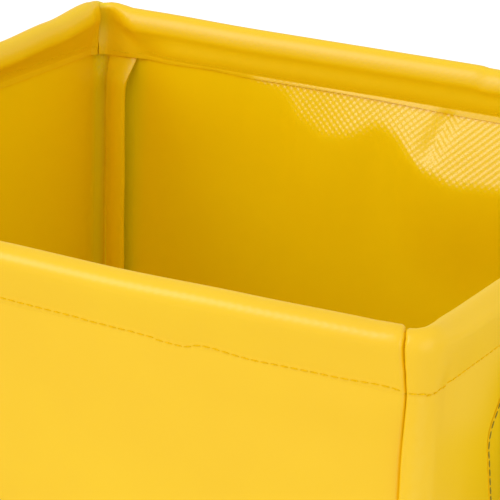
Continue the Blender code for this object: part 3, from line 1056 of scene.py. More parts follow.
HEM_LIFT = {
    "front": [(-125, 0.2), (-60, -0.4), (0, -0.3), (41, -0.8), (84, -0.2), (122, 0.3), (133, 0.9)],
    "back": [(-120, 0.0), (-40, -0.5), (66, -0.6), (110, 0.0), (123, 0.0), (128, 0.7), (133, 1.9)],
    "right": [(-143, 0.3), (-134, 0.9), (-125, 0.3), (-110, 0.0), (0, -0.4), (110, 0.2)],
    "left": [(-143, 1.4), (-128, 2.0), (-100, -0.4), (-66, -2.1), (0, -3.0), (70, -1.6), (130, 0.2)],
}
HEM_ENDS = {
    "front": ((0.35, 6), (0.06, 4)),
    "back": ((0.35, 6), (1.0, 5.0)),
    "right": ((0.0, 12), (0.25, 14)),
    "left": ((0.20, 13), (0.25, 14)),
}
CUT_EDGE_RISE = [(-35, 0.0), (22, 1.0), (50, 0.9), (67, 0.8), (83, 1.4), (117, 0.6), (133, 0.0)]
MITRE = 8.0 * MM
CORNER_PINCH = 0.22
CREASE_X, CREASE_DEPTH = 0.033, 1.1 * MM
STAND_IN, STAND_IN_RISE = 1.6 * MM, 4 * MM


def seam_drift(side, along, share):
    """How far the seam at a hem's end has moved along the rim, away from the middle of its panel."""
    lean = toward_corner(side, along, "front", "right") * MM * through(SEAM_LEAN, share)
    return lean + toward_corner(side, along, "back", "left") * MITRE * smooth(share, 0.33, 0.50)


def roll_dent(along, share):
    """The kink in the back hem's roll, where the rod's sleeve has been pinched."""
    past = smooth(-along, CREASE_X - 2.5 * MM, CREASE_X + 1.5 * MM) * smooth(-along, 0.075, 0.045)
    return CREASE_DEPTH * past * hill(share, 0, (0.58, 0), 0.16, 1)


def over_allowance(side, along, share):
    """How far the hem's cut edge stands in where it lies over a seam allowance."""
    if SIDES[side][0] is side_plan:
        start = SIDE_SEAM - 1.5 * MM
    else:
        start = SEAM - (14 if side == "back" and along > 0 else 10) * MM
    return STAND_IN * smooth(abs(along), start - STAND_IN_RISE, start) * smooth(share, 0.68, 0.95)


# %% Build the four hems
HEM_COLUMNS, HEM_ROWS = 150, 60
CUT_EDGE_SHARE = 0.945


def fold_hem(side):
    plan, length, swell_of, _, seam_at = SIDES[side]

    def place(along, up):
        share = up / round_hem.length + 0.5
        along, inward = turned_edge(along, length / 2, seam_at, SEAM_ROUND)
        flat = flatness(along, share, seam_at, HEM_ENDS[side])
        outline = hem_outline(share, flat, inward)
        stands_in = over_allowance(side, along, share)
        along = drifted(along, seam_at, seam_drift(side, along, share))
        roll = smooth(outline.y, STITCH_Z + 1 * MM, STITCH_Z + 11 * MM)
        out = swell_of(along, min(outline.y, STITCH_Z + 6 * MM)) * (1 - roll)
        height = outline.y + lifted(HEM_LIFT[side], along) * roll
        pinch = 1
        if side == "right":
            out += gathers(along) * smooth(share, 0.50, 0.35)
        if side == "back":
            height -= roll_dent(along, share)
            height += lifted(CUT_EDGE_RISE, along) * smooth(share, CUT_EDGE_SHARE, 1.0)
        if plan is side_plan:
            pinch -= CORNER_PINCH * smooth(abs(along), SEAM - 10 * MM, SEAM + 1 * MM)
        return put(plan, along, CLOTH / 2 + (outline.x - CLOTH / 2) * pinch - out + stands_in, height)

    return place


def hem_rub(along, up):
    return hill(up / round_hem.length, 0, (0.0, 0), 0.10, 1)


hems = {}
for side, (_, length, _, angle, _) in SIDES.items():
    panel = cut_panel(length, round_hem.length, HEM_COLUMNS, HEM_ROWS)
    fold(panel, fold_hem(side), hem_rub)
    hem = make_piece(f"{side}_hem_cloth", turned(panel, angle), coated_cloth, "vinyl", CLOTH)
    # The hems take a little less of the inside's painted light.
    mark_inside(hem.data, weave=0.0, inside_light=0.6, groove=HEM_GROOVE)
    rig.ride(hem, "rim")
    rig.replaces(hem, f"{side}_hem")
    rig.sheet(hem, flat=(length, round_hem.length), held="folded", rests_on=[f"{side}_rod"])
    hems[side] = hem
print("hems:", [len(hem.data.polygons) for hem in hems.values()], "faces")


# %% [markdown]
# ## Round pieces swept along a line
# Rods, seam allowances and grips are closed shapes. Each starts as a circle that is carried upwards
# into a tube and capped, and then every ring is moved and reshaped.


# %% Tubes
def make_tube(sides, rings):
    """A tube of radius 1 and height 1, capped, with its cloth map still to be set."""
    bm = bmesh.new()
    bmesh.ops.create_circle(bm, cap_ends=False, segments=sides, radius=1)
    base = bm.edges[:]
    upward = {"cent": (0, 0, 0), "axis": (0, 0, 1), "dvec": (0, 0, 1 / rings)}
    bmesh.ops.spin(bm, geom=bm.verts[:] + base, angle=0, steps=rings, **upward)
    bmesh.ops.holes_fill(bm, edges=[edge for edge in bm.edges if edge.is_boundary], sides=0)
    bmesh.ops.recalc_face_normals(bm, faces=bm.faces)
    return bm


def shape_tube(bm, perimeter, length, place):
    """Moves each point of a tube, from its angle and its share of the height, and maps its cloth."""
    cloth_map = bm.loops.layers.uv.new("cloth")
    for face in bm.faces:
        turns = [math.atan2(loop.vert.co.y, loop.vert.co.x) / (2 * math.pi) for loop in face.loops]
        wraps = max(turns) - min(turns) > 0.5
        for loop, turn in zip(face.loops, turns):
            around = turn + 1 if wraps and turn < 0 else turn
            loop[cloth_map].uv = (around * perimeter, loop.vert.co.z * length)
    for vert in bm.verts:
        angle = math.atan2(vert.co.y, vert.co.x)
        vert.co = place(min(max(vert.co.z, 0.0), 1.0), angle)
    bmesh.ops.recalc_face_normals(bm, faces=bm.faces)
    return bm


def rounded(angle, half_width, half_thickness, power=0.55):
    """A point on a flat band's rounded section."""
    c, s = math.cos(angle), math.sin(angle)
    return half_width * math.copysign(abs(c) ** power, c), half_thickness * math.copysign(abs(s) ** power, s)


# %% [markdown]
# ## Rods
# The rods lie in the rolls and follow their rise and sag.

# %% Build the rods
ROD_RADIUS = 3.6 * MM
ROD_INSET = 2.2 * MM
ROD_HALF = 0.1205


def rod_place(side):
    def place(share, angle):
        end = min(share, 1 - share) * 2 * ROD_HALF
        radius = ROD_RADIUS * (0.8 + 0.2 * smooth(end, 0, 1 * MM))
        along = (share - 0.5) * 2 * ROD_HALF
        height = ROLL_Z - 0.5 * MM + lifted(HEM_LIFT[side], along) + radius * math.sin(angle)
        return put(SIDES[side][0], along, ROD_INSET + radius * math.cos(angle), height)

    return place


for side, (_, _, _, angle, _) in SIDES.items():
    rod_tube = shape_tube(make_tube(20, 60), 2 * math.pi * ROD_RADIUS, 2 * ROD_HALF, rod_place(side))
    rod = make_piece(f"{side}_fibre_rod", turned(rod_tube, angle), glass_fibre, "rods")
    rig.ride(rod, "rim")
    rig.replaces(rod, f"{side}_rod")

# %% [markdown]
# ## Seam allowances
# Inside each corner the two cut edges stand together as a soft band against the face wall. Its free
# edge lifts a little off the wall. At the top the band is caught under the hem, and in the rear left
# corner it fans out sideways to a bright folded tip.

# %% Build the upright allowances
BAND_HALF_WIDTH = 5.1 * MM
BAND_HALF_THICKNESS = 1.15 * MM
BAND_LIFT, BAND_SEWN_LIFT = 3.5 * MM, 1.4 * MM
BAND_MIDDLE, BAND_FAN = 4.6 * MM, 2.9
BAND_WANDER, BAND_WANDER_SIZE = 0.5 * MM, 26 * MM
TUCK_REACH = 12 * MM
DRAG_FOOT_Z = 0.2455
band_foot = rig.box("front_right_seam_flap")[0].z
BAND_TOP = STITCH_Z - 0.7 * MM
BAND_KEEP = 1 - RIM_TRAVEL / (BAND_TOP - band_foot)


def band_place(dragged, seed):
    """A band beside the seam at X = -SEAM on the front face. It is turned or mirrored later."""

    def place(share, angle):
        height = band_foot + (BAND_TOP - band_foot) * share
        drag = dragged * smooth(height, DRAG_FOOT_Z, BAND_TOP)
        tuck = smooth(height, BAND_TOP - TUCK_REACH, BAND_TOP + 0.5 * MM)
        width = BAND_HALF_WIDTH
        depth = BAND_HALF_THICKNESS * (1 - 0.6 * tuck)
        u, v = rounded(angle, width, depth)
        free = BAND_SEWN_LIFT + (BAND_LIFT - BAND_SEWN_LIFT) * smooth(u, -width, 0.1 * width)
        lift = free * (0.8 + 0.4 * smooth(height, 0.16, 0.25)) * (1 - tuck)
        wander = BAND_WANDER * swell(height, 0, BAND_WANDER_SIZE, seed)
        fan = BAND_FAN * smooth(u, -width, width) * MM * drag
        x = -SEAM + BAND_MIDDLE + u + wander * (1 - drag) + fan
        y = -HALF + CLOTH + depth + GAP + v + lift
        return Vector((x, y, height))

    return place


def mirrored(bm):
    """Mirrors a piece left to right, and turns its faces outwards again."""
    bmesh.ops.scale(bm, vec=(-1, 1, 1), verts=bm.verts)
    bmesh.ops.reverse_faces(bm, faces=bm.faces)
    return bm


for corner, flip, angle, dragged, seed in (
    ("front_left", False, 0, 0.35, 1.5),
    ("front_right", True, 0, 0.35, 2.5),
    ("back_left", True, math.pi, 1.0, 3.5),
    ("back_right", False, math.pi, 0.35, 4.5),
):
    tube = make_tube(24, 90)
    shape_tube(tube, 4 * BAND_HALF_WIDTH, BAND_TOP - band_foot, band_place(dragged, seed))
    if flip:
        mirrored(tube)
    band = make_piece(f"{corner}_seam_allowance", turned(tube, angle), coated_cloth, "vinyl")
    mark_inside(band.data, weave=0.4)
    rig.ride(band, "base")
    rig.replaces(band, f"{corner}_seam_flap")

# %% [markdown]
# ## Bottom
# The bottom is a flat square with its edge rolled up into the seam, and a flat allowance lies along
# each wall inside. It rests on the floor, so its underside stays level.

# %% Build the bottom and its allowances
BOTTOM_SIZE = 2 * HALF - 2 * GAP


def bottom_place(along, up):
    """A square panel with its corners drawn in to a round."""
    reach = BOTTOM_SIZE / 2
    x, y = along, up
    core = reach - CORNER
    if abs(x) > core and abs(y) > core:
        off = Vector((abs(x) - core, abs(y) - core))
        off = off.normalized() * max(off.x, off.y)
        x, y = math.copysign(core + off.x, x), math.copysign(core + off.y, y)
    edge = reach - max(abs(along), abs(up))
    rise = 0.35 * MM * smooth(edge, 15 * MM, 70 * MM) * (0.5 + 0.5 * swell(x, y, 80 * MM, 7.7))
    return Vector((x, y, CLOTH / 2 + rise + rolled_in(edge, FOOT_ROUND)))


def bottom_rub(along, up):
    return 1 - smooth(BOTTOM_SIZE / 2 - max(abs(along), abs(up)), 0, 4 * MM)


bottom_panel = cut_panel(BOTTOM_SIZE, BOTTOM_SIZE, 96, 96)
fold(bottom_panel, bottom_place, bottom_rub)
bottom = make_piece("bottom_cloth", bottom_panel, coated_cloth, "vinyl", CLOTH)
mark_inside(bottom.data, groove=0.0)
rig.ride(bottom, "base")
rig.replaces(bottom, "bottom_panel")
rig.sheet(bottom, flat=(BOTTOM_SIZE, BOTTOM_SIZE), held="laid", rests_on=["floor"])

FLOOR_BAND_HALF_WIDTH, FLOOR_BAND_HALF_THICKNESS = 5.7 * MM, 0.75 * MM
FLOOR_BAND_MIDDLE, FLOOR_BAND_ROUND = 6.1 * MM, 23 * MM


def floor_band_place(half_length, middle_z, seed):
    def place(share, turn):
        along = (share - 0.5) * 2 * half_length
        u, v = rounded(turn, FLOOR_BAND_HALF_WIDTH, FLOOR_BAND_HALF_THICKNESS)
        wander = 0.3 * MM * swell(along, 0, 30 * MM, seed)
        y = -HALF + CLOTH + GAP + FLOOR_BAND_MIDDLE + u + wander
        lift = 0.5 * MM * smooth(u, -5 * MM, 6 * MM)
        return Vector((along, y, middle_z + v + lift))

    return place


for side, angle in (("front", 0), ("right", math.pi / 2), ("back", math.pi), ("left", -math.pi / 2)):
    across = side in ("front", "back")
    low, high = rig.box("front_floor_flap" if across else "right_floor_flap")
    half_length = (high.x - low.x) / 2 if across else (high.y - low.y) / 2
    place = floor_band_place(half_length, (low.z + high.z) / 2, angle)
    tube = shape_tube(make_tube(20, 80), FLOOR_BAND_ROUND, 2 * half_length, place)
    flap = make_piece(f"{side}_bottom_allowance", turned(tube, angle), coated_cloth, "vinyl")
    mark_inside(flap.data)
    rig.ride(flap, "base")
    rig.replaces(flap, f"{side}_floor_flap")


# %% [markdown]
# ## Stitches
# A lockstitch shows as a row of short threads that dip into the cloth at both ends. Each is one
# small rounded spindle of 30 faces. The row is drawn as a line, and every stitch then drops onto the
# nearest surface and turns to lie along it.

# %% Sewing along a line
THREAD_RADIUS = 0.25 * MM
THREAD_SHARP = math.radians(80)
STITCH_PITCH = 3.1 * MM
STITCH_SHARE = 0.91
FLATTENED = 0.8


def sew(bm, line, surface, pitch=STITCH_PITCH, radius=THREAD_RADIUS, sink=0.35):
    """Adds the stitches of one line of points to a mesh. Returns how many there are."""
    seam = Outline(line)
    count = max(int(seam.length / pitch), 1)
    size = Matrix.Diagonal((STITCH_SHARE * seam.length / count / 2, radius, radius * FLATTENED, 1))
    for index in range(count):
        ends = [seam.at((index + 0.5 + side * STITCH_SHARE / 2) / count) for side in (-1, 1)]
        middle = (ends[0] + ends[1]) / 2
        spot, normal, _, _ = surface.find_nearest(middle)
        if normal.dot(middle - spot) < 0:
            normal = -normal
        run = (ends[1] - ends[0]).normalized()
        run = (run - normal * run.dot(normal)).normalized()
        turn = Matrix((run, normal.cross(run), normal)).transposed().to_4x4()
        place = Matrix.Translation(spot + normal * radius * (FLATTENED - sink)) @ turn @ size
        bmesh.ops.create_uvsphere(bm, u_segments=6, v_segments=5, radius=1, matrix=place)
    return count


def make_stitches(name, bm, material, body, slot):
    stitches = make_piece(name, bm, material, slot)
    stitches.data.set_sharp_from_angle(angle=THREAD_SHARP)
    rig.ride(stitches, body)
    return stitches


# %% [markdown]
# The line of hem stitches wanders by a millimetre or so, with a small jog in front where the sewer
# stopped and started again. The front and right lines are read from the photograph, and the other
# two are much like them. Inside, each line wanders less.

# %% Sew the hems
STITCH_WANDER = {
    "front": [
        (-120, 0.2), (-60, -0.4), (2.5, 1.5), (23.4, 0.9), (43.8, 0.1), (64.3, -0.6), (70.8, 0.8),
        (86.2, -0.1), (108, 0.6), (128, 1.4), (133.3, 0.8),
    ],
    "back": [(-128, 0.4), (-70, -0.5), (-10, 0.4), (60, 0.9), (128, -0.2)],
    "right": [(-142, 0.5), (-128, -0.2), (-90, -0.2), (-20, 0.5), (60, -0.5), (140, 0.3)],
    "left": [(-140, 0.3), (-60, -0.4), (30, 0.6), (140, 0.0)],
}
HEM_THREADS = (
    ("hem_stitches", -2 * MM, 1.0, yellow_thread, THREAD_RADIUS, 0.55),
    ("inner_hem_stitches", 8 * MM, 0.25, lemon_thread, 0.5 * THREAD_RADIUS, 0.72),
)
LINE_POINTS = 90
END_MARGIN = 0.4 * MM
for side, (plan, _, _, angle, seam_at) in SIDES.items():
    surface = surface_of(hems[side], walls[side])
    turn = Matrix.Rotation(angle, 4, "Z")
    low = -seam_at + END_MARGIN - corner_drift(side, -1, STITCH_Z)
    high = seam_at - END_MARGIN + corner_drift(side, 1, STITCH_Z)
    for name, inset, wandering, thread, radius, sink in HEM_THREADS:
        bm = bmesh.new()
        line = []
        for step in range(LINE_POINTS + 1):
            along = low + (high - low) * step / LINE_POINTS
            height = STITCH_Z + wandering * lifted(STITCH_WANDER[side], along)
            line.append(turn @ put(plan, along, inset, height))
        count = sew(bm, line, surface, radius=radius, sink=sink)
        make_stitches(f"{side}_{name}", bm, thread, "rim", "vinyl")
    print(side, "hem:", count, "stitches on each side")

# %% [markdown]
# ## Handle patches
# A shield-shaped patch spreads each handle's pull. Its edge is turned under, so it stands a little
# proud. The dark thread runs along the edge's crest, and inside it the patch sinks to the wall.

# %% Build the patches
PATCH_PROUD = 3.95 * MM
SEWING_PROUD = 3.4 * MM
PATCH_ROUND = 5.0 * MM
PATCH_CHAMFER, PATCH_FOOT = 13 * MM, 13.5 * MM
PATCH_THICKNESS = 0.28 * MM
SEWN_EDGE = ((0.13, 0.08), (0.17, 0.02), (0.25, -0.08), (0.4, 0.12), (1.4, 0.12), (2.2, 0.06))
HANDLES = (("right", 0), ("left", math.pi))


def opposite(place, side):
    """Where a piece of the right side comes to lie when it is turned round for the left."""
    return place if side == "right" else {"front": "rear", "rear": "front"}[place]


def patch_outline(node, grow):
    """The patch's corners as (y, z), from its box: chamfered shoulders, and sides that draw in below."""
    low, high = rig.box(node)
    middle = (low.y + high.y) / 2
    half = (high.y - low.y) / 2 + grow
    top, foot = high.z + grow, low.z - grow
    shoulder = high.z - PATCH_CHAMFER + 0.4 * grow
    head = half - PATCH_CHAMFER - 0.2 * grow
    base = PATCH_FOOT + 0.8 * grow
    right = [(base, foot), (half, shoulder), (head, top)]
    return [(middle + y, z) for y, z in right] + [(middle - y, z) for y, z in reversed(right)]


def rounded_patch(node, grow, bend):
    """The patch as one flat face on the right wall, with its corners rounded."""
    bm = bmesh.new()
    bm.faces.new([bm.verts.new((HALF + 0.1 * MM, y, z)) for y, z in patch_outline(node, grow)])
    corners = bm.verts[:]
    bmesh.ops.bevel(bm, geom=corners, offset=bend, segments=6, profile=0.5, affect="VERTICES", material=-1)
    return bm


def patch_sewing(node):
    """The line of stitches round a patch, closed, as (y, z)."""
    bm = rounded_patch(node, SEWING_PROUD, PATCH_ROUND - PATCH_PROUD + SEWING_PROUD)
    bm.faces.ensure_lookup_table()
    line = [(vert.co.y, vert.co.z) for vert in bm.faces[0].verts]
    bm.free()
    return line + line[:1]


def patch_cut(node):
    """The patch's width, height and flat area before it was sewn on."""
    bm = rounded_patch(node, PATCH_PROUD, PATCH_ROUND)
    ys, zs = [vert.co.y for vert in bm.verts], [vert.co.z for vert in bm.verts]
    area = sum(face.calc_area() for face in bm.faces)
    bm.free()
    return {"flat": (max(ys) - min(ys), max(zs) - min(zs)), "area": area}


def put_in_order(bm):
    """Builds a mesh again with sorted faces, so that stitches on its edges always take the same one."""
    faces = []
    for face in bm.faces:
        corners = [vert.co.to_tuple() for vert in face.verts]
        first = corners.index(min(corners))
        faces.append(corners[first:] + corners[:first])
    bm.clear()
    verts = {corner: bm.verts.new(corner) for corner in sorted({spot for face in faces for spot in face})}
    for face in sorted(faces):
        bm.faces.new([verts[corner] for corner in face])


def make_patch(node):
    """Gives the flat shape its thickness, and insets it ring by ring, each that far in and that far down."""
    bm = rounded_patch(node, PATCH_PROUD, PATCH_ROUND)
    bmesh.ops.subdivide_edges(bm, edges=[e for e in bm.edges if e.calc_length() > 6 * MM], cuts=9)
    bmesh.ops.recalc_face_normals(bm, faces=bm.faces)
    grown = bmesh.ops.extrude_face_region(bm, geom=bm.faces[:])["geom"]
    top = [item for item in grown if isinstance(item, bmesh.types.BMFace)]
    raised = [item for item in grown if isinstance(item, bmesh.types.BMVert)]
    bmesh.ops.translate(bm, vec=(PATCH_THICKNESS, 0, 0), verts=raised)
    for inset, sink in SEWN_EDGE:
        bmesh.ops.inset_region(bm, faces=top, thickness=inset * MM, depth=sink * MM, use_even_offset=True)
    bmesh.ops.recalc_face_normals(bm, faces=bm.faces)
    put_in_order(bm)
    cloth_map = bm.loops.layers.uv.new("cloth")
    for face in bm.faces:
        for loop in face.loops:
            loop[cloth_map].uv = loop.vert.co.yz
    return bm


for side, angle in HANDLES:
    turn = Matrix.Rotation(angle, 4, "Z")
    for place in ("front", "rear"):
        source = f"right_{opposite(place, side)}_handle_patch"
        panel = turned(make_patch(source), angle)
        patch = make_piece(f"{side}_{place}_patch_cloth", panel, coated_cloth, "vinyl")
        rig.ride(patch, "rim")
        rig.replaces(patch, f"{side}_{place}_handle_patch")
        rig.sheet(patch, **patch_cut(source), held="stretched", rests_on=[f"{side}_wall"])
        bm = bmesh.new()
        line = [Vector((HALF + 3 * MM, y, z)) for y, z in patch_sewing(source)]
        count = sew(bm, [turn @ point for point in line], surface_of(patch))
        make_stitches(f"{side}_{place}_patch_stitches", bm, dark_thread, "rim", "webbing")
print("patches sewn with", count, "stitches each")

# %% [markdown]
# ## Webbing handles
# A handle is one length of webbing. It is sewn to the front patch, folds over at its hinge line,
# hangs, takes a quarter twist, runs through the grip and comes back to the rear patch. The band is
# cut flat like the cloth, and it bends between the rim and the handle where it folds.

# %% The webbing's path
STRAP_WIDTH, STRAP_THICKNESS = 25 * MM, 1.6 * MM
HINGE = Vector((0.1441, 0, 0.253))
sewn_low, sewn_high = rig.box("right_front_strap_end")
SEWN_X = (sewn_low.x + sewn_high.x) / 2
SEWN_FOOT_Z = sewn_low.z
SPREAD = 0.134 / 2
RISE, BEND, FLAT_LEG = 0.070, 0.020, 0.020
LEAN = math.radians(15.93)
FOLD_RISE = 1.3
SEWN_STEPS, FOLD_STEPS, LEG_STEPS, BEND_STEPS, GRIP_STEPS = 30, 12, 40, 24, 20
out_along = Vector((math.sin(LEAN), 0, -math.cos(LEAN)))
out_side = Vector((-math.cos(LEAN), 0, -math.sin(LEAN)))


def handle_point(y, distance, side=0.0):
    """A point on the hanging handle: across at y, that far from the hinge, that far to its side."""
    return HINGE + out_along * distance + out_side * side + Vector((0, y, 0))


def half_path():
    """The front half of the path, as (point, width direction)."""
    path = []
    over = (HINGE.x - SEWN_X) / 2
    flat = Vector((0, 1, 0))
    for step in range(SEWN_STEPS + 1):
        z = SEWN_FOOT_Z + (HINGE.z - SEWN_FOOT_Z) * step / SEWN_STEPS
        path.append((Vector((SEWN_X, -SPREAD, z)), flat))
    for step in range(1, FOLD_STEPS):
        angle = math.pi - math.pi * step / FOLD_STEPS
        x = SEWN_X + over + over * math.cos(angle)
        path.append((Vector((x, -SPREAD, HINGE.z + FOLD_RISE * over * math.sin(angle))), flat))
    leg = RISE - BEND
    for step in range(LEG_STEPS + 1):
        distance = leg * step / LEG_STEPS
        twist = smooth(distance, FLAT_LEG, leg) * math.pi / 2
        width = Vector((0, math.cos(twist), 0)) + out_side * math.sin(twist)
        path.append((handle_point(-SPREAD, distance), width))
    for step in range(1, BEND_STEPS + 1):
        angle = math.pi / 2 * step / BEND_STEPS
        y = -SPREAD + BEND * (1 - math.cos(angle))
        path.append((handle_point(y, leg + BEND * math.sin(angle)), out_side))
    for step in range(1, GRIP_STEPS + 1):
        path.append((handle_point((-SPREAD + BEND) * (1 - step / GRIP_STEPS), RISE), out_side))
    return path


front_half = half_path()
rear_half = [(Vector((p.x, -p.y, p.z)), Vector((w.x, -w.y, w.z))) for p, w in reversed(front_half[:-1])]
strap_path = front_half + rear_half
strap_line = Outline([point for point, _ in strap_path])
print(f"each handle takes {strap_line.length / MM:.0f} mm of webbing")


def strap_width_at(share):
    index, part = strap_line.find(share)
    return strap_path[index][1].lerp(strap_path[index + 1][1], part).normalized()


# %% Build the webbing
STRAP_COLUMNS, STRAP_ROWS = 16, 320
STRAP_EDGE, STRAP_EDGE_ROUND = math.radians(60), 0.35 * MM
BLEND_START, BLEND_END, BLEND_Z = 0.14305, 0.14335, 0.25


def strap_place(along, up):
    share = up / strap_line.length + 0.5
    return strap_line.at(share) + strap_width_at(share) * along


def rounded_edges(bm, radius):
    """Rounds a thick band's sharp long edges."""
    sharp = [edge for edge in bm.edges if len(edge.link_faces) == 2 and edge.calc_face_angle() > STRAP_EDGE]
    bmesh.ops.bevel(bm, geom=sharp, offset=radius, segments=2, profile=0.5, affect="EDGES", material=-1)


straps = {}
for side, angle in HANDLES:
    panel = cut_panel(STRAP_WIDTH, strap_line.length, STRAP_COLUMNS, STRAP_ROWS)
    fold(panel, strap_place)
    strap = make_piece(f"{side}_webbing", turned(panel, angle), black_webbing, "webbing", STRAP_THICKNESS)
    bm = bmesh.new()
    bm.from_mesh(strap.data)
    rounded_edges(bm, STRAP_EDGE_ROUND)
    bm.to_mesh(strap.data)
    bm.free()
    start, end = ((math.copysign(x, math.cos(angle)), 0, BLEND_Z) for x in (BLEND_START, BLEND_END))
    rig.blend(strap, "rim", f"{side}_handle", start=start, end=end)
    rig.replaces(strap, f"{side}_handle_strap", f"{side}_front_strap_end", f"{side}_rear_strap_end")
    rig.sheet(strap, flat=(STRAP_WIDTH, strap_line.length), held="folded", rests_on=[f"{side}_grip"])
    straps[side] = strap

# %% [markdown]
# Each sewn end is held by a box of stitches with a cross in it, the strongest way to sew webbing.

# %% Sew the webbing's ends
BOX_MARGIN, BOX_TOP_MARGIN = 3.0 * MM, 6 * MM
BOX_LINES = ((0, 1), (1, 2), (2, 3), (3, 0), (0, 2), (1, 3))
BOX_THREAD = {"pitch": 3.0 * MM, "radius": 0.28 * MM, "sink": 0.5}
x = SEWN_X + STRAP_THICKNESS / 2
half = STRAP_WIDTH / 2 - BOX_MARGIN
z0, z1 = SEWN_FOOT_Z + BOX_MARGIN, HINGE.z - BOX_TOP_MARGIN
for side, angle in HANDLES:
    turn = Matrix.Rotation(angle, 4, "Z")
    surface = surface_of(straps[side])
    for place, y in (("front", -SPREAD), ("rear", SPREAD)):
        bm = bmesh.new()
        corners = [(y - half, z0), (y + half, z0), (y + half, z1), (y - half, z1)]
        box = [turn @ Vector((x, a, b)) for a, b in corners]
        for first, second in BOX_LINES:
            sew(bm, [box[first], box[second]], surface, **BOX_THREAD)
        make_stitches(f"{side}_{opposite(place, side)}_box_stitches", bm, dark_thread, "rim", "webbing")

# %% [markdown]
# ## Grips
# The grip is a moulded rubber sleeve with shallow waves for the fingers, and its ends are rounded
# and a little thicker, like a lip.

# %% Build the grips
GRIP_HALF = 0.044
GRIP_WIDTH, GRIP_THICKNESS = 32 * MM, 10 * MM
GRIP_ROUND = 80 * MM
LIP, CAP, CAP_REACH = 0.06, 0.30, 2.2 * MM
WAVE, WAVE_LENGTH = 0.055, 7.2 * MM


def grip_place(share, angle):
    along = (share - 0.5) * 2 * GRIP_HALF
    end = GRIP_HALF - abs(along)
    lip = 1 + LIP * smooth(end, 6 * MM, 2 * MM)
    cap = 1 - CAP * (1 - math.sqrt(min(1.0, 1 - (1 - min(end / CAP_REACH, 1)) ** 2)))
    fingers = 0.5 + 0.5 * math.cos(2 * math.pi * along / WAVE_LENGTH)
    waves = 1 - WAVE * fingers * smooth(end, 8 * MM, 12 * MM)
    u, v = rounded(angle, GRIP_WIDTH / 2 * lip * cap * 0.97, GRIP_THICKNESS / 2 * lip * cap * waves, 0.62)
    return handle_point(along, RISE + v, u)


for side, angle in HANDLES:
    tube = shape_tube(make_tube(48, 150), GRIP_ROUND, 2 * GRIP_HALF, grip_place)
    grip = make_piece(f"{side}_rubber_grip", turned(tube, angle), grip_rubber, "grips")
    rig.ride(grip, f"{side}_handle")
    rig.replaces(grip, f"{side}_grip")

# %% [markdown]
# ## Folding walls
# The walls and the upright allowances crumple as the rim slides down, so they squash towards their
# feet by just as much as the rim travels. This comes after the stitches have found their surface.

# %% Squash the walls
for side, wall in walls.items():
    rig.squash(wall, "collapse", axis=(0, 0, 1), anchor=(0, 0, FOOT_Z), keep=WALL_KEEP)
for corner in ("front_left", "front_right", "back_left", "back_right"):
    band = bpy.data.objects[f"{corner}_seam_allowance"]
    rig.squash(band, "collapse", axis=(0, 0, 1), anchor=(0, 0, band_foot), keep=BAND_KEEP)
print(f"the walls keep {WALL_KEEP:.3f} of their height, the allowances {BAND_KEEP:.3f}")

# %% [markdown]
# ## Floor and light
# The bucket stands on a plain white floor under even studio light, a little weaker overhead than at
# the sides. One tall soft lamp stands to the front left, whose reflection runs along the hem and the
# back wall's bulge, and a weak fill stands to the right. The background is white because the floor
# glows a little for camera rays, and the world is pure white for them and for mirrored rays.

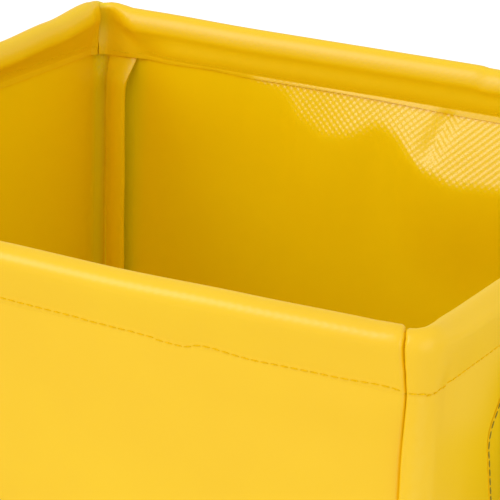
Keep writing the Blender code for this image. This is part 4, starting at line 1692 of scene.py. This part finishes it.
# %% Floor
FLOOR_RADIUS, FLOOR_GLOW = 4, 0.40
floor_mesh = bmesh.new()
bmesh.ops.create_circle(floor_mesh, cap_ends=True, segments=96, radius=FLOOR_RADIUS)
floor_data = bpy.data.meshes.new("floor")
floor_mesh.to_mesh(floor_data)
floor_mesh.free()
floor = bpy.data.objects.new("floor", floor_data)
bpy.context.scene.collection.objects.link(floor)
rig.stage(floor)
paper = Finish("studio_paper")
grain = paper.mix(paper.speckle(paper.place(), 1.5), (0.80, 0.80, 0.80, 1), (0.82, 0.82, 0.82, 1))
seen = paper.node("LightPath", output="Is Camera Ray")
paper.set(Base_Color=grain, Roughness=0.9, Specular_IOR_Level=0.2)
paper.set(Emission_Color=(1, 1, 1, 1), Emission_Strength=seen * FLOOR_GLOW)
floor.data.materials.append(paper.block)

# %% World and lamps
WORLD_LIGHT = (0.975, 0.81)
sky = Finish("studio", world=True)
rise = sky.parts(sky.node("TexCoord", output="Generated"))[2]
even = sky.node("MapRange", None, {"Value": rise, "To Min": WORLD_LIGHT[0], "To Max": WORLD_LIGHT[1]})
mirrored_ray = sky.node("LightPath", output="Is Glossy Ray")
pure = sky.node("LightPath", output="Is Camera Ray").math("MAXIMUM", mirrored_ray)
sky.set(Color=(1, 1, 1, 1), Strength=sky.node("MapRange", None, {"Value": pure, "To Min": even}))
bpy.context.scene.world = sky.block
MOUTH = Vector((0, 0, 0.2))


def add_lamp(name, azimuth, elevation, distance, width, height, radiance):
    """A soft lamp that faces the bucket's mouth. Azimuth 0 is in front, and it grows to the left."""
    a, e = math.radians(azimuth), math.radians(elevation)
    toward = Vector((-math.sin(a) * math.cos(e), -math.cos(a) * math.cos(e), math.sin(e)))
    data = bpy.data.lights.new(name, "AREA")
    data.shape = "RECTANGLE"
    data.size, data.size_y = width, height
    data.energy = radiance * math.pi * width * height
    lamp = bpy.data.objects.new(name, data)
    lamp.location = MOUTH + toward * distance
    lamp.rotation_mode = "QUATERNION"
    lamp.rotation_quaternion = toward.to_track_quat("Z", "Y")
    lamp.visible_camera = False
    bpy.context.scene.collection.objects.link(lamp)
    return lamp


add_lamp("tall_soft_lamp", azimuth=33, elevation=31, distance=2.0, width=0.66, height=0.98, radiance=4.25)
add_lamp("side_fill", azimuth=-60, elevation=8, distance=0.9, width=0.6, height=0.6, radiance=0.72)
bpy.context.scene.view_settings.view_transform = "Standard"

# %% [markdown]
# ## The size and finish
# The visual model has to stay in the CAD model's box, apart from a little that cloth may stand
# proud, so both boxes are written down.

# %% Write both boxes and finish
boxes = {"cad": [list(corner) for corner in cad_box], "visual": [list(corner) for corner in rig.bounds()]}
with open("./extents.json", "w") as out:
    json.dump(boxes, out)
low, high = ([round(x, 4) for x in corner] for corner in boxes["visual"])
print("the visual box runs from", low, "to", high)
